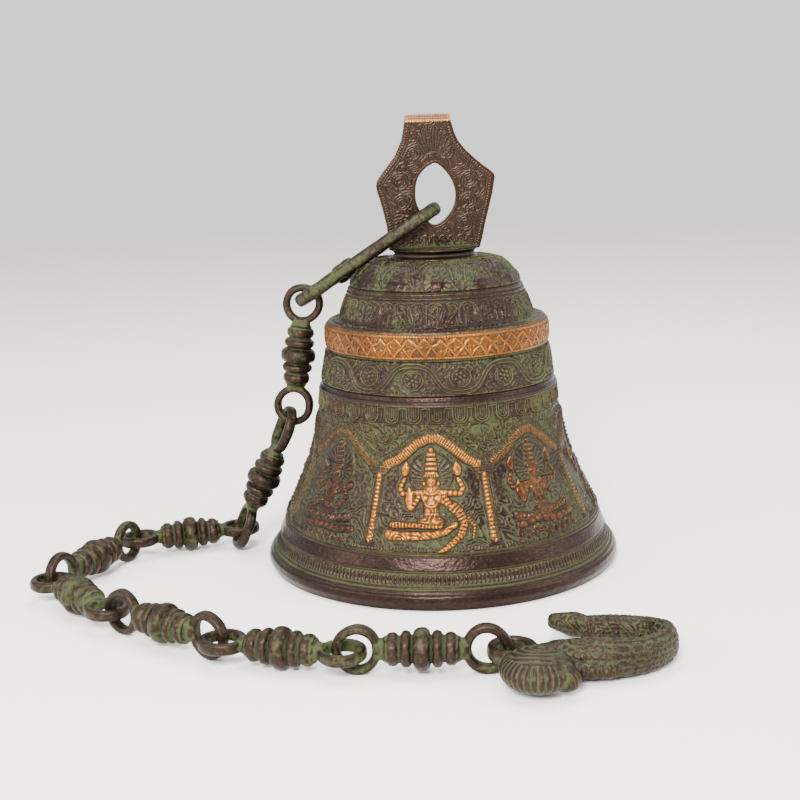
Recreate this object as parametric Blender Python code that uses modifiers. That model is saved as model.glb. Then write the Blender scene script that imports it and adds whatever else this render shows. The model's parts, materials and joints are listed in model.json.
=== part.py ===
"""Hanging temple bell of cast brass, standing on its mouth, with its chain, hook and clapper.

The bell's axis is the empty "bell_axis"; every part hangs from it.  Metres, +Z up.  The world
origin is under the middle of the whole object, bell and laid-out chain together.
"""
import math

import bmesh
import bpy
from mathutils import Matrix, Vector

# ---------------------------------------------------------------- driving dimensions
BELL_X = 0.0722                # bell axis, measured from the middle of the whole object
BELL_Y = 0.0704
GAP = 0.00035                  # clearance between neighbouring castings

MOUTH_RADIUS = 0.1210
CROWN_RADIUS = 0.0300          # flat top of the crown, under the lug's foot
CROWN_TOP = 0.2058
CROWN_UNDER = 0.1992
CROWN_HOLE_RADIUS = 0.0044
BELL_STEPS = 48

LUG_THICKNESS = 0.0130
LUG_CHAMFER = 0.0022
LUG_BASE_Z = 0.2122
LUG_TOP_Z = 0.3010
LUG_FOOT_RADIUS = 0.0295
LUG_SOCKET_DEPTH = 0.0085

EYE_RADIUS = 0.0115            # chain eye, to the middle of its band
EYE_BAND = 0.0050              # band width, seen on the eye's face
EYE_DEPTH = 0.0085             # band depth, along the eye's axis
EYE_REACH = EYE_RADIUS + EYE_BAND / 2
EYE_SEGMENTS = 18
EYE_SIDES = 6
LINK_SPACING = 0.0715          # between the eye centres of one link
BALUSTER_RADIUS = 0.0122
FLAT_EYE_Z = BALUSTER_RADIUS   # a link whose eyes lie flat rests on its baluster
UPRIGHT_EYE_Z = EYE_REACH      # a link whose eyes stand up rests on their rims

STIRRUP_WIRE = 0.0045          # radius of the stirrup's bar
STIRRUP_HALF_WIDTH = 0.0145
STIRRUP_PIVOT = Vector((0.0005, -0.0040, 0.2385))
STIRRUP_TIP = Vector((-0.0900, 0.0110, 0.1795))
COLLAR_RADIUS = 0.0068
COLLAR_LENGTH = 0.0160
COLLAR_AT = 0.0770             # collar's middle, from the pivot along the stirrup

# The two links that hang: lean away from the vertical, and the slack in their eyes.
HANG_LEAN = math.radians(8.0)
HANG_SLACK = 0.0033
LONG_LINK_SLACK = 0.0042
LONG_LINK_STRAND = Vector((-0.300, 0.954, 0.0)).normalized()    # where link 3 grips its lower eye

# The links that lie on the floor: heading of each, and how far the eye that lies flat is
# drawn back from the hinge at each of its ends.
FLOOR_START = Vector((-0.1455, 0.0312, FLAT_EYE_Z))
FLOOR_HEADINGS = [math.radians(a) for a in (-165.0, -115.5, -49.0, -37.0, -18.0, -4.0)]
FLOOR_SLACKS = [(0.0, 0.0017), (0.0, 0.0), (0.0028, 0.0035), (0.0, 0.0), (-0.0005, -0.0035), (0.0, 0.0)]
HOOK_SLACK = 0.0020
HOOK_HEADING = math.radians(-5.0)

STAPLE_EYE_Z = 0.1780
STAPLE_EYE_RADIUS = 0.0080
STAPLE_WIRE = 0.0025
SHANK_RADIUS = 0.0040
WASHER_RADIUS = 0.0115
WASHER_THICKNESS = 0.0016
NUT_RADIUS = 0.0090            # across the corners, halved
NUT_HEIGHT = 0.0064
CLAPPER_RING_RADIUS = 0.0140
CLAPPER_RING_WIRE = 0.0024
ROD_EYE_RADIUS = 0.0080
ROD_RADIUS = 0.0040
BOB_RADIUS = 0.0170
BOB_Z = 0.0460
PIN_RADIUS = 0.0016
ROOT = 0.0005                  # how far a shank runs into its eye

# Outer and inner profiles of the bell as (radius, height), from the crown down and back up.
OUTER_PROFILE = [
    (CROWN_RADIUS, CROWN_TOP), (0.0400, 0.2052), (0.0460, 0.2035), (0.0500, 0.2003),
    (0.0538, 0.1957), (0.0583, 0.1870), (0.0615, 0.1785), (0.0645, 0.1700), (0.0660, 0.1680),
    (0.0738, 0.1668), (0.0752, 0.1620), (0.0754, 0.1545), (0.0744, 0.1490), (0.0752, 0.1470),
    (0.0762, 0.1400), (0.0790, 0.1235), (0.0806, 0.1220), (0.0800, 0.1190), (0.0818, 0.1030),
    (0.0848, 0.0860), (0.0885, 0.0730), (0.0945, 0.0590), (0.1010, 0.0450), (0.1075, 0.0330),
    (0.1118, 0.0225), (0.1130, 0.0165), (0.1180, 0.0120), (0.1206, 0.0085),
    (MOUTH_RADIUS, 0.0050), (0.1190, 0.0000),
]
INNER_PROFILE = [
    (0.1120, 0.0000), (0.1085, 0.0080), (0.1020, 0.0250), (0.0935, 0.0450), (0.0855, 0.0680),
    (0.0790, 0.0930), (0.0745, 0.1220), (0.0690, 0.1500), (0.0600, 0.1720), (0.0530, 0.1850),
    (0.0450, 0.1945), (0.0340, 0.1985), (CROWN_HOLE_RADIUS, CROWN_UNDER),
]

# Right and left edges of the lug's face as (x, z), from its foot up.  It is a hand-cut
# pattern, so the sides differ a little.
LUG_RIGHT = [
    (0.0308, LUG_BASE_Z), (0.0347, 0.2280), (0.0396, 0.2475), (0.0415, 0.2595),
    (0.0385, 0.2635), (0.0275, 0.2722), (0.0178, 0.2830), (0.0140, 0.2930), (0.0128, LUG_TOP_Z),
]
LUG_LEFT = [
    (-0.0168, LUG_TOP_Z), (-0.0176, 0.2930), (-0.0195, 0.2838), (-0.0245, 0.2735),
    (-0.0325, 0.2640), (-0.0376, 0.2555), (-0.0353, 0.2465), (-0.0312, 0.2280),
    (-0.0304, LUG_BASE_Z),
]
LUG_HOLE = [
    (0.0028, 0.2688), (-0.0045, 0.2655), (-0.0092, 0.2600), (-0.0114, 0.2525), (-0.0112, 0.2440),
    (-0.0080, 0.2360), (-0.0030, 0.2295), (0.0010, 0.2275), (0.0060, 0.2295), (0.0110, 0.2345),
    (0.0145, 0.2410), (0.0154, 0.2490), (0.0132, 0.2570), (0.0085, 0.2640),
]

# Half of a link's baluster as (distance from the link's middle, radius): five beads in all.
BALUSTER_HALF = [
    (0.0000, BALUSTER_RADIUS), (0.0034, 0.0116), (0.0055, 0.0092), (0.0075, 0.0102),
    (0.0100, 0.0101), (0.0121, 0.0084), (0.0145, 0.0091), (0.0180, 0.0086), (0.0240, 0.0050),
]
BALUSTER_STEPS = 12
BALUSTER_END = BALUSTER_HALF[-1][0]

# Hook: centre line seen from above in the hook's own axes (x away from its eye), with the
# body's radius at each point.
HOOK_LINE = [
    (0.0100, 0.0000, 0.0046), (0.0220, -0.0030, 0.0078), (0.0380, -0.0050, 0.0098),
    (0.0560, -0.0050, 0.0098), (0.0700, 0.0000, 0.0085), (0.0810, 0.0100, 0.0075),
    (0.0860, 0.0225, 0.0068), (0.0820, 0.0350, 0.0066), (0.0710, 0.0430, 0.0070),
    (0.0560, 0.0465, 0.0072), (0.0420, 0.0470, 0.0072), (0.0310, 0.0490, 0.0062),
    (0.0240, 0.0510, 0.0040),
]
HOOK_FAN_CENTRE = (0.0130, -0.0230)
HOOK_FAN_SIZE = (0.0205, 0.0215, 0.0115)

BRONZE = (0.055, 0.034, 0.028)
VERDIGRIS = (0.085, 0.105, 0.040)
LUG_BROWN = (0.080, 0.040, 0.026)
IRON = (0.045, 0.040, 0.036)


# ---------------------------------------------------------------- scene and helpers
def clear_scene():
    for obj in list(bpy.data.objects):
        bpy.data.objects.remove(obj, do_unlink=True)


def new_collection(name):
    collection = bpy.data.collections.new(name)
    bpy.context.scene.collection.children.link(collection)
    return collection


def metal(name, colour, roughness):
    material = bpy.data.materials.new(name)
    material.use_nodes = True
    shader = material.node_tree.nodes["Principled BSDF"]
    shader.inputs["Base Color"].default_value = (*colour, 1.0)
    shader.inputs["Roughness"].default_value = roughness
    shader.inputs["Metallic"].default_value = 1.0
    return material


def link_object(obj, collection):
    for owner in list(obj.users_collection):
        owner.objects.unlink(obj)
    collection.objects.link(obj)


def temporary(data, matrix=Matrix.Identity(4)):
    """A helper solid that is joined or cut into a part and then removed."""
    obj = bpy.data.objects.new("helper", data)
    obj.matrix_world = matrix
    obj.hide_render = True
    obj.display_type = "WIRE"
    link_object(obj, CUTTERS)
    return obj


def turned(profile, steps, matrix=Matrix.Identity(4)):
    """A solid of revolution about Z from (radius, z) points that run down its outer side."""
    data = bpy.data.meshes.new("profile")
    shape = bmesh.new()
    verts = [shape.verts.new((radius, 0.0, z)) for radius, z in profile]
    closed = profile[0][0] > 0.0
    for index in range(len(verts) - 1):
        shape.edges.new((verts[index], verts[index + 1]))
    if closed:
        shape.edges.new((verts[-1], verts[0]))
    shape.to_mesh(data)
    shape.free()
    obj = temporary(data, matrix)
    screw = obj.modifiers.new("turn", "SCREW")
    screw.steps = steps
    screw.render_steps = steps
    screw.use_merge_vertices = True
    screw.merge_threshold = 0.00005
    return obj


def band_eye(radius, width, depth, matrix=Matrix.Identity(4)):
    """A ring in the XY plane with an oval band section: width across, depth along its axis."""
    bpy.ops.mesh.primitive_torus_add(
        major_segments=EYE_SEGMENTS, minor_segments=EYE_SIDES, major_radius=radius,
        minor_radius=width / 2)
    obj = bpy.context.object
    obj.data.transform(Matrix.Diagonal((1.0, 1.0, depth / width, 1.0)))
    obj.matrix_world = matrix
    link_object(obj, CUTTERS)
    return obj


def tube(points, radius, closed, resolution=2):
    """A round bar along the given points, made a mesh with welded caps."""
    curve = bpy.data.curves.new("tube", "CURVE")
    curve.dimensions = "3D"
    curve.bevel_depth = radius
    curve.bevel_resolution = resolution
    curve.use_fill_caps = True
    spline = curve.splines.new("POLY")
    spline.points.add(len(points) - 1)
    for point, place in zip(spline.points, points):
        point.co = (*place, 1.0)
    spline.use_cyclic_u = closed
    return temporary(curve)


def solid_mesh(obj):
    """The evaluated mesh of a helper, welded and moved to the helper's place."""
    depsgraph = bpy.context.evaluated_depsgraph_get()
    mesh = bpy.data.meshes.new_from_object(obj.evaluated_get(depsgraph))
    mesh.transform(obj.matrix_world)
    shape = bmesh.new()
    shape.from_mesh(mesh)
    bmesh.ops.remove_doubles(shape, verts=shape.verts, dist=0.00001)
    bmesh.ops.recalc_face_normals(shape, faces=shape.faces)
    shape.to_mesh(mesh)
    shape.free()
    bpy.data.objects.remove(obj, do_unlink=True)
    return mesh


def combined(base, *changes):
    """The mesh of base after joining or cutting each (operation, helper) in turn."""
    result = solid_mesh(base)
    for operation, helper in changes:
        body = temporary(result)
        other = temporary(solid_mesh(helper))
        boolean = body.modifiers.new("combine", "BOOLEAN")
        boolean.operation = operation
        boolean.object = other
        bpy.context.view_layer.update()
        result = solid_mesh(body)
        bpy.data.objects.remove(other, do_unlink=True)
    return result


def part(name, mesh, material, matrix=Matrix.Identity(4), smooth_angle=40.0):
    """A named part; its mesh is in its own axes, about its joint."""
    mesh.name = name
    mesh.materials.clear()
    mesh.materials.append(material)
    mesh.shade_smooth()
    mesh.set_sharp_from_angle(angle=math.radians(smooth_angle))
    obj = bpy.data.objects.new(name, mesh)
    PARTS.objects.link(obj)
    obj.parent = AXIS
    obj.matrix_local = matrix
    return obj


def frame_matrix(origin, forward, across):
    """Axes with X along forward and Y as near across as a right angle allows."""
    x_axis = forward.normalized()
    z_axis = x_axis.cross(across).normalized()
    y_axis = z_axis.cross(x_axis)
    rotation = Matrix((x_axis, y_axis, z_axis)).transposed()
    return Matrix.Translation(origin) @ rotation.to_4x4()


TURN_TO_X = Matrix.Rotation(math.radians(90.0), 4, "Y")


# ---------------------------------------------------------------- bell and lug
def bell_body(material):
    shell = turned(OUTER_PROFILE + INNER_PROFILE + [(CROWN_HOLE_RADIUS, CROWN_TOP)], BELL_STEPS)
    part("bell_body", solid_mesh(shell), material, smooth_angle=30.0)


def lug_plate():
    curve = bpy.data.curves.new("lug", "CURVE")
    curve.dimensions = "2D"
    curve.fill_mode = "BOTH"
    curve.extrude = LUG_THICKNESS / 2
    for outline in (LUG_RIGHT + LUG_LEFT, LUG_HOLE):
        spline = curve.splines.new("POLY")
        spline.points.add(len(outline) - 1)
        for point, (x, z) in zip(spline.points, outline):
            point.co = (x, z, 0.0, 1.0)
        spline.use_cyclic_u = True
    return temporary(curve, Matrix.Rotation(math.radians(90.0), 4, "X"))


def crown_lug(material):
    plate = temporary(solid_mesh(lug_plate()))
    bevel = plate.modifiers.new("edge", "BEVEL")
    bevel.width = LUG_CHAMFER
    bevel.segments = 1
    bevel.limit_method = "ANGLE"
    bevel.angle_limit = math.radians(60.0)
    foot_bottom = CROWN_TOP + GAP
    foot = turned([
        (0.0, LUG_BASE_Z + 0.0008), (0.0280, LUG_BASE_Z + 0.0008), (LUG_FOOT_RADIUS, LUG_BASE_Z),
        (0.0268, LUG_BASE_Z - 0.0022), (0.0268, foot_bottom + 0.0016),
        (LUG_FOOT_RADIUS, foot_bottom), (0.0, foot_bottom)], 32)
    bpy.ops.mesh.primitive_cylinder_add(
        vertices=24, radius=CROWN_HOLE_RADIUS, depth=2 * LUG_SOCKET_DEPTH,
        location=(0.0, 0.0, foot_bottom))
    socket = bpy.context.object
    link_object(socket, CUTTERS)
    mesh = combined(plate, ("UNION", foot), ("DIFFERENCE", socket))
    part("crown_lug", mesh, material)


# ---------------------------------------------------------------- clapper
def clapper(iron, bronze):
    shank_top = CROWN_TOP + LUG_SOCKET_DEPTH - 0.0010
    eye_upright = Matrix.Translation((0, 0, STAPLE_EYE_Z)) @ Matrix.Rotation(math.radians(90), 4, "X")
    eye = band_eye(STAPLE_EYE_RADIUS, 2 * STAPLE_WIRE, 2 * STAPLE_WIRE, eye_upright)
    shank_bottom = STAPLE_EYE_Z + STAPLE_EYE_RADIUS - ROOT
    shank = turned([(0.0, shank_top), (SHANK_RADIUS, shank_top), (SHANK_RADIUS, shank_bottom),
                    (0.0, shank_bottom)], 16)
    part("clapper_staple", combined(eye, ("UNION", shank)), iron)

    washer_top = CROWN_UNDER - GAP
    washer_under = washer_top - WASHER_THICKNESS
    hole = SHANK_RADIUS + GAP
    washer = turned([(WASHER_RADIUS, washer_top), (WASHER_RADIUS, washer_under),
                     (hole, washer_under), (hole, washer_top)], 24)
    part("clapper_washer", solid_mesh(washer), iron)
    nut_top = washer_under - GAP
    nut_under = nut_top - NUT_HEIGHT
    nut = turned([(0.0, nut_top), (NUT_RADIUS, nut_top), (NUT_RADIUS, nut_under),
                  (0.0, nut_under)], 6)
    nut_hole = turned([(0.0, washer_top), (hole, washer_top), (hole, nut_under - NUT_HEIGHT),
                       (0.0, nut_under - NUT_HEIGHT)], 16)
    part("clapper_nut", combined(nut, ("DIFFERENCE", nut_hole)), iron, smooth_angle=20.0)

    ring_pivot = Matrix.Translation((0, 0, STAPLE_EYE_Z))
    ring_place = Matrix.Translation((0, 0, -CLAPPER_RING_RADIUS)) @ TURN_TO_X
    ring = band_eye(CLAPPER_RING_RADIUS, 2 * CLAPPER_RING_WIRE, 2 * CLAPPER_RING_WIRE, ring_place)
    part("clapper_ring", solid_mesh(ring), iron, ring_pivot)

    rod_pivot_z = STAPLE_EYE_Z - 2 * CLAPPER_RING_RADIUS + ROD_EYE_RADIUS
    eye_place = Matrix.Translation((0, 0, -ROD_EYE_RADIUS)) @ Matrix.Rotation(math.radians(90), 4, "X")
    rod_eye = band_eye(ROD_EYE_RADIUS, 2 * STAPLE_WIRE, 2 * STAPLE_WIRE, eye_place)
    rod_top = -2 * ROD_EYE_RADIUS + ROOT
    rod_bottom = BOB_Z - BOB_RADIUS - 0.0040 - rod_pivot_z
    rod = turned([(0.0, rod_top), (ROD_RADIUS, rod_top - 0.0030), (ROD_RADIUS, rod_bottom + 0.0015),
                  (ROD_RADIUS - 0.0015, rod_bottom), (0.0, rod_bottom)], 16)
    pin_drop = BOB_Z - rod_pivot_z
    rod_mesh = combined(rod_eye, ("UNION", rod), ("DIFFERENCE", pin_bore(pin_drop)))
    rod_frame = Matrix.Translation((0, 0, rod_pivot_z))
    part("clapper_rod", rod_mesh, iron, rod_frame)

    bob_profile = [(hole, BOB_RADIUS * 0.98), (0.0075, BOB_RADIUS * 0.90), (0.0130, 0.0110),
                   (0.0162, 0.0052), (BOB_RADIUS, 0.0), (0.0162, -0.0052), (0.0130, -0.0110),
                   (0.0080, -0.0152), (0.0066, -0.0200), (hole, -0.0200)]
    bob = turned(bob_profile, 28, Matrix.Translation((0, 0, pin_drop)))
    part("clapper_bob", combined(bob, ("DIFFERENCE", pin_bore(pin_drop))), bronze, rod_frame)

    pin_half = BOB_RADIUS - 0.0008
    pin = turned([(0.0, pin_half), (PIN_RADIUS, pin_half), (PIN_RADIUS, -pin_half), (0.0, -pin_half)],
                 12, Matrix.Translation((0, 0, pin_drop)) @ TURN_TO_X)
    part("bob_pin", solid_mesh(pin), iron, rod_frame)


def pin_bore(height):
    """Cutter for the cross hole that the bob's pin goes through."""
    bpy.ops.mesh.primitive_cylinder_add(vertices=12, radius=PIN_RADIUS + GAP, depth=4 * BOB_RADIUS)
    bore = bpy.context.object
    bore.matrix_world = Matrix.Translation((0, 0, height)) @ TURN_TO_X
    link_object(bore, CUTTERS)
    return bore


# ---------------------------------------------------------------- chain
def loop_points(radius, half_length, arc_steps=7):
    """A long round-ended loop in the XY plane, along X, about its middle."""
    points = []
    for side in (1, -1):
        for step in range(arc_steps + 1):
            angle = math.pi * (step / arc_steps - side / 2)
            points.append((side * half_length + radius * math.cos(angle),
                           radius * math.sin(angle), 0.0))
    return points


def stirrup(material):
    """A long closed bar loop through the lug, with a collar over the joint in its far side."""
    reach = STIRRUP_TIP - STIRRUP_PIVOT
    half_straight = (reach.length - 2 * STIRRUP_HALF_WIDTH) / 2
    bar = tube(loop_points(STIRRUP_HALF_WIDTH, half_straight), STIRRUP_WIRE, True)
    bar.matrix_world = Matrix.Translation((reach.length / 2, 0, 0))
    half = COLLAR_LENGTH / 2
    place = Matrix.Translation((COLLAR_AT, STIRRUP_HALF_WIDTH, 0)) @ TURN_TO_X
    collar = turned([(0.0, half), (STIRRUP_WIRE + 0.0010, half), (COLLAR_RADIUS, half * 0.5),
                     (COLLAR_RADIUS, -half * 0.5), (STIRRUP_WIRE + 0.0010, -half), (0.0, -half)],
                    14, place)
    across = Vector((reach.y, -reach.x, 0.0))
    part("stirrup_link", combined(bar, ("UNION", collar)), material,
         frame_matrix(STIRRUP_PIVOT, reach, across))
    return reach.normalized(), across.normalized()


def link_mesh(leg=0.0):
    """A link along X from its first eye's centre; its eyes lie in its XY plane."""
    middle = LINK_SPACING / 2
    spine = [(-distance, radius) for distance, radius in reversed(BALUSTER_HALF[1:])]
    spine += BALUSTER_HALF
    spine = [(-BALUSTER_END, 0.0)] + spine + [(BALUSTER_END, 0.0)]
    profile = [(radius, -distance) for distance, radius in spine]
    baluster = turned(profile, BALUSTER_STEPS, Matrix.Translation((middle, 0, 0)) @ TURN_TO_X)
    eyes = []
    for centre, outward in ((0.0, -1), (LINK_SPACING, 1)):
        if leg:
            eyes.append(long_eye(centre, outward, leg))
        else:
            eyes.append(band_eye(EYE_RADIUS, EYE_BAND, EYE_DEPTH, Matrix.Translation((centre, 0, 0))))
    return combined(baluster, *[("UNION", eye) for eye in eyes])


def long_eye(centre, outward, leg):
    """An eye drawn out by a straight leg, with the same band as a round one."""
    points = loop_points(EYE_RADIUS, leg / 2)
    eye = tube(points, EYE_BAND / 2, True)
    eye.matrix_world = Matrix.Translation((centre + outward * leg / 2, 0, 0)) @ Matrix.Diagonal(
        (1.0, 1.0, EYE_DEPTH / EYE_BAND, 1.0))
    return eye


def place_link(name, mesh, material, matrix, joint_at):
    """A link with its origin moved to its joint, joint_at along its own X axis."""
    own = mesh.copy()
    own.transform(Matrix.Translation((-joint_at, 0, 0)))
    part(name, own, material, matrix @ Matrix.Translation((joint_at, 0, 0)))


def hanging_links(material, along, across):
    """The two links between the stirrup and the floor; the second has long eyes to reach it."""
    outward = Vector((along.x, along.y, 0.0)).normalized()
    down = outward * math.sin(HANG_LEAN) - Vector((0, 0, 1)) * math.cos(HANG_LEAN)
    first_eye = STIRRUP_TIP + down * HANG_SLACK
    place = frame_matrix(first_eye, down, outward)
    place_link("chain_link_1", link_mesh(), material, place, -HANG_SLACK)

    lower_eye = first_eye + down * LINK_SPACING
    target = FLOOR_START - LONG_LINK_STRAND * EYE_RADIUS
    target.z = UPRIGHT_EYE_Z
    slant = (target - lower_eye).normalized()
    wire = lower_eye + slant * LONG_LINK_SLACK
    leg = ((target - wire).length - EYE_RADIUS - LINK_SPACING) / 2
    place = frame_matrix(wire + slant * (EYE_RADIUS + leg), slant, LONG_LINK_STRAND)
    place_link("chain_link_2", link_mesh(leg), material, place, -EYE_RADIUS - leg)


def floor_links(material):
    """Six links end to end on the floor, eyes flat and upright in turn; returns the last hinge."""
    flat_mesh = link_mesh()
    hinge = FLOOR_START.copy()
    for index, (heading, slack) in enumerate(zip(FLOOR_HEADINGS, FLOOR_SLACKS)):
        forward = Vector((math.cos(heading), math.sin(heading), 0.0))
        upright = index % 2 == 1
        before = EYE_RADIUS if upright else slack[0]
        after = EYE_RADIUS if upright else slack[1]
        first_eye = hinge + forward * before
        first_eye.z = UPRIGHT_EYE_Z if upright else FLAT_EYE_Z
        across = Vector((0, 0, 1)) if upright else forward.cross(Vector((0, 0, -1)))
        place = frame_matrix(first_eye, forward, across)
        place_link("chain_link_%d" % (index + 3), flat_mesh, material, place, -before)
        hinge = first_eye + forward * (LINK_SPACING + after)
    return hinge


# ---------------------------------------------------------------- hook
def hook_rings():
    """Cross-sections of the hook's body: centre, side direction, half width, half height."""
    rings = []
    last = len(HOOK_LINE) - 1
    for index, (x, y, radius) in enumerate(HOOK_LINE):
        before = HOOK_LINE[max(index - 1, 0)]
        after = HOOK_LINE[min(index + 1, last)]
        forward = Vector((after[0] - before[0], after[1] - before[1], 0.0)).normalized()
        side = Vector((-forward.y, forward.x, 0.0))
        rings.append((Vector((x, y, max(radius, 0.0060) + 0.0010)), side, radius))
    return rings


def hook_body(sides=10):
    """A loft along the hook's centre line, closed at both ends."""
    data = bpy.data.meshes.new("hook")
    shape = bmesh.new()
    loops = []
    for centre, side, radius in hook_rings():
        loop = []
        for corner in range(sides):
            angle = 2 * math.pi * corner / sides
            offset = side * (radius * math.cos(angle))
            offset.z = radius * math.sin(angle)
            loop.append(shape.verts.new(centre + offset))
        loops.append(loop)
    for lower, upper in zip(loops, loops[1:]):
        for corner in range(sides):
            following = (corner + 1) % sides
            shape.faces.new((lower[corner], lower[following], upper[following], upper[corner]))
    shape.faces.new(loops[0])
    shape.faces.new(list(reversed(loops[-1])))
    shape.to_mesh(data)
    shape.free()
    return temporary(data)


def hook_fan():
    """The broad ribbed crest at the hook's shoulder, a flattened ball."""
    data = bpy.data.meshes.new("fan")
    shape = bmesh.new()
    bmesh.ops.create_uvsphere(shape, u_segments=18, v_segments=10, radius=1.0)
    shape.to_mesh(data)
    shape.free()
    place = Matrix.Translation((*HOOK_FAN_CENTRE, HOOK_FAN_SIZE[2]))
    return temporary(data, place @ Matrix.Diagonal((*HOOK_FAN_SIZE, 1.0)))


def hook(material, hinge):
    forward = Vector((math.cos(HOOK_HEADING), math.sin(HOOK_HEADING), 0.0))
    centre = hinge + forward * HOOK_SLACK
    eye = band_eye(EYE_RADIUS, EYE_BAND, EYE_DEPTH, Matrix.Translation((0, 0, FLAT_EYE_Z)))
    mesh = combined(hook_body(), ("UNION", hook_fan()), ("UNION", eye))
    centre.z = 0.0
    matrix = frame_matrix(centre, forward, forward.cross(Vector((0, 0, -1))))
    place_link("chain_hook", mesh, material, matrix, -HOOK_SLACK)


# ---------------------------------------------------------------- assembly
def build():
    bronze = metal("dark_bronze", BRONZE, 0.38)
    patina = metal("green_patina_bronze", VERDIGRIS, 0.50)
    lug_metal = metal("brown_bronze", LUG_BROWN, 0.42)
    iron = metal("dark_iron", IRON, 0.50)
    bell_body(bronze)
    crown_lug(lug_metal)
    clapper(iron, bronze)
    along, across = stirrup(patina)
    hanging_links(patina, along, across)
    last_hinge = floor_links(patina)
    hook(patina, last_hinge)


clear_scene()
PARTS = new_collection("brass_puja_bell")
CUTTERS = new_collection("cutters")
AXIS = bpy.data.objects.new("bell_axis", None)
AXIS.location = (BELL_X, BELL_Y, 0.0)
PARTS.objects.link(AXIS)
bpy.context.view_layer.update()
build()
bpy.context.view_layer.update()
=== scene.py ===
"""Standing temple bell of cast bronze with relief bands, its clapper, chain and serpent hook.

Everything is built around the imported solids: the bell's relief as fine height fields on its turned
profile, the lug, stirrup, links and hook as castings fused from simpler bodies and then chased.
Metres, +Z up.  Lengths inside the relief patterns are in millimetres.
"""
import json
import math

import bmesh
import bpy
import numpy as np
from mathutils import Matrix, Vector


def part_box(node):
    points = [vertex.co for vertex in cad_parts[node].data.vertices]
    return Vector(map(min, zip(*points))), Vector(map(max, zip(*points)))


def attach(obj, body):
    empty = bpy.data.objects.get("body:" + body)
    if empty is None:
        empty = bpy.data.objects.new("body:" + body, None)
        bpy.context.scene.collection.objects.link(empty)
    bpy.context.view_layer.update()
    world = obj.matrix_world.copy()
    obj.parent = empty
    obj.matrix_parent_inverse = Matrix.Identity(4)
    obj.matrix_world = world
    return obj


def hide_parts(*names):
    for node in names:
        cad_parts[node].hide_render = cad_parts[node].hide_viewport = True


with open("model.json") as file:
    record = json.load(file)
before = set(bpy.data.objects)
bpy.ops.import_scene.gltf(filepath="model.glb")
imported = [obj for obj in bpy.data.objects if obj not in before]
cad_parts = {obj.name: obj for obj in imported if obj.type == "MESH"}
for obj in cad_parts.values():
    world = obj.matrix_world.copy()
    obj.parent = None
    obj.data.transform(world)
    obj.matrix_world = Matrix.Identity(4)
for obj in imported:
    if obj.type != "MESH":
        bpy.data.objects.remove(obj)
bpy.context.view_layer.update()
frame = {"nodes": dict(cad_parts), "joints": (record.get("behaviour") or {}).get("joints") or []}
JOINTS = {joint["name"]: joint for joint in frame["joints"]}

BELL_LOW, BELL_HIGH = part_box("bell_body")
AXIS_X = (BELL_LOW.x + BELL_HIGH.x) / 2
AXIS_Y = (BELL_LOW.y + BELL_HIGH.y) / 2
MM = 0.001
TURN = 2 * math.pi
FRONT = -math.pi / 2           # the side of the bell that faces the camera
PANELS = 8
PANEL_TURN = math.radians(-5.5)

# Turned outside of the bell as (radius, height), from the crown's flat down to the mouth.
PROFILE = [
    (0.0262, 0.2062), (0.0300, 0.2061), (0.0400, 0.2053), (0.0460, 0.2036), (0.0500, 0.2004),
    (0.0538, 0.1957), (0.0583, 0.1870), (0.0615, 0.1785), (0.0645, 0.1700), (0.0657, 0.1674),
    (0.0734, 0.1664), (0.0752, 0.1620), (0.0754, 0.1545), (0.0744, 0.1490), (0.0742, 0.1478),
    (0.0752, 0.1468), (0.0762, 0.1400), (0.0790, 0.1235), (0.0806, 0.1220), (0.0798, 0.1190),
    (0.0818, 0.1030), (0.0848, 0.0860), (0.0885, 0.0730), (0.0945, 0.0590), (0.1010, 0.0450),
    (0.1075, 0.0330), (0.1118, 0.0225), (0.1130, 0.0165), (0.1165, 0.0125), (0.1202, 0.0088),
    (0.1210, 0.0050), (0.1190, 0.0003),
    ]
WALL = [
    (0.1190, 0.0003), (0.1120, 0.0003), (0.1085, 0.0080), (0.1020, 0.0250), (0.0935, 0.0450),
    (0.0855, 0.0680), (0.0790, 0.0930), (0.0745, 0.1220), (0.0690, 0.1500), (0.0600, 0.1720),
    (0.0530, 0.1850), (0.0450, 0.1945), (0.0340, 0.1985), (0.0046, 0.1992),
    ]


# ---------------------------------------------------------------- drawing with distances
def ease(low, high, value):
    t = np.clip((value - low) / (high - low), 0.0, 1.0)
    return t * t * (3 - 2 * t)


def near(x, y, points):
    """Distance to a line through the points, and the length along it of the nearest place."""
    best = np.full(x.shape, 1e3)
    along = np.zeros(x.shape)
    done = 0.0
    for (x0, y0), (x1, y1) in zip(points, points[1:]):
        dx, dy = x1 - x0, y1 - y0
        length = math.hypot(dx, dy)
        t = np.clip(((x - x0) * dx + (y - y0) * dy) / (length * length + 1e-9), 0, 1)
        gap = np.hypot(x - x0 - t * dx, y - y0 - t * dy)
        closer = gap < best
        best = np.where(closer, gap, best)
        along = np.where(closer, done + t * length, along)
        done += length
    return best, along


def round_bar(gap, half):
    return np.sqrt(np.clip(1 - (gap / half) ** 2, 0, 1))


def line(x, y, points, half):
    return round_bar(near(x, y, points)[0], half)


def rope(x, y, points, half, pitch, end_half=None, depth=0.35):
    """A round bar with ribs across it; it may taper to end_half."""
    gap, along = near(x, y, points)
    length = sum(math.dist(a, b) for a, b in zip(points, points[1:]))
    width = half + ((end_half or half) - half) * along / length
    ribs = 1 - depth * (0.5 + 0.5 * np.cos(TURN * along / pitch)) ** 2
    return round_bar(gap, width) * ribs


def oval(x, y, cx, cy, rx, ry, tilt=0.0):
    c, s = math.cos(tilt), math.sin(tilt)
    u = ((x - cx) * c + (y - cy) * s) / rx
    v = ((y - cy) * c - (x - cx) * s) / ry
    return np.sqrt(np.clip(1 - u * u - v * v, 0, 1))


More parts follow.
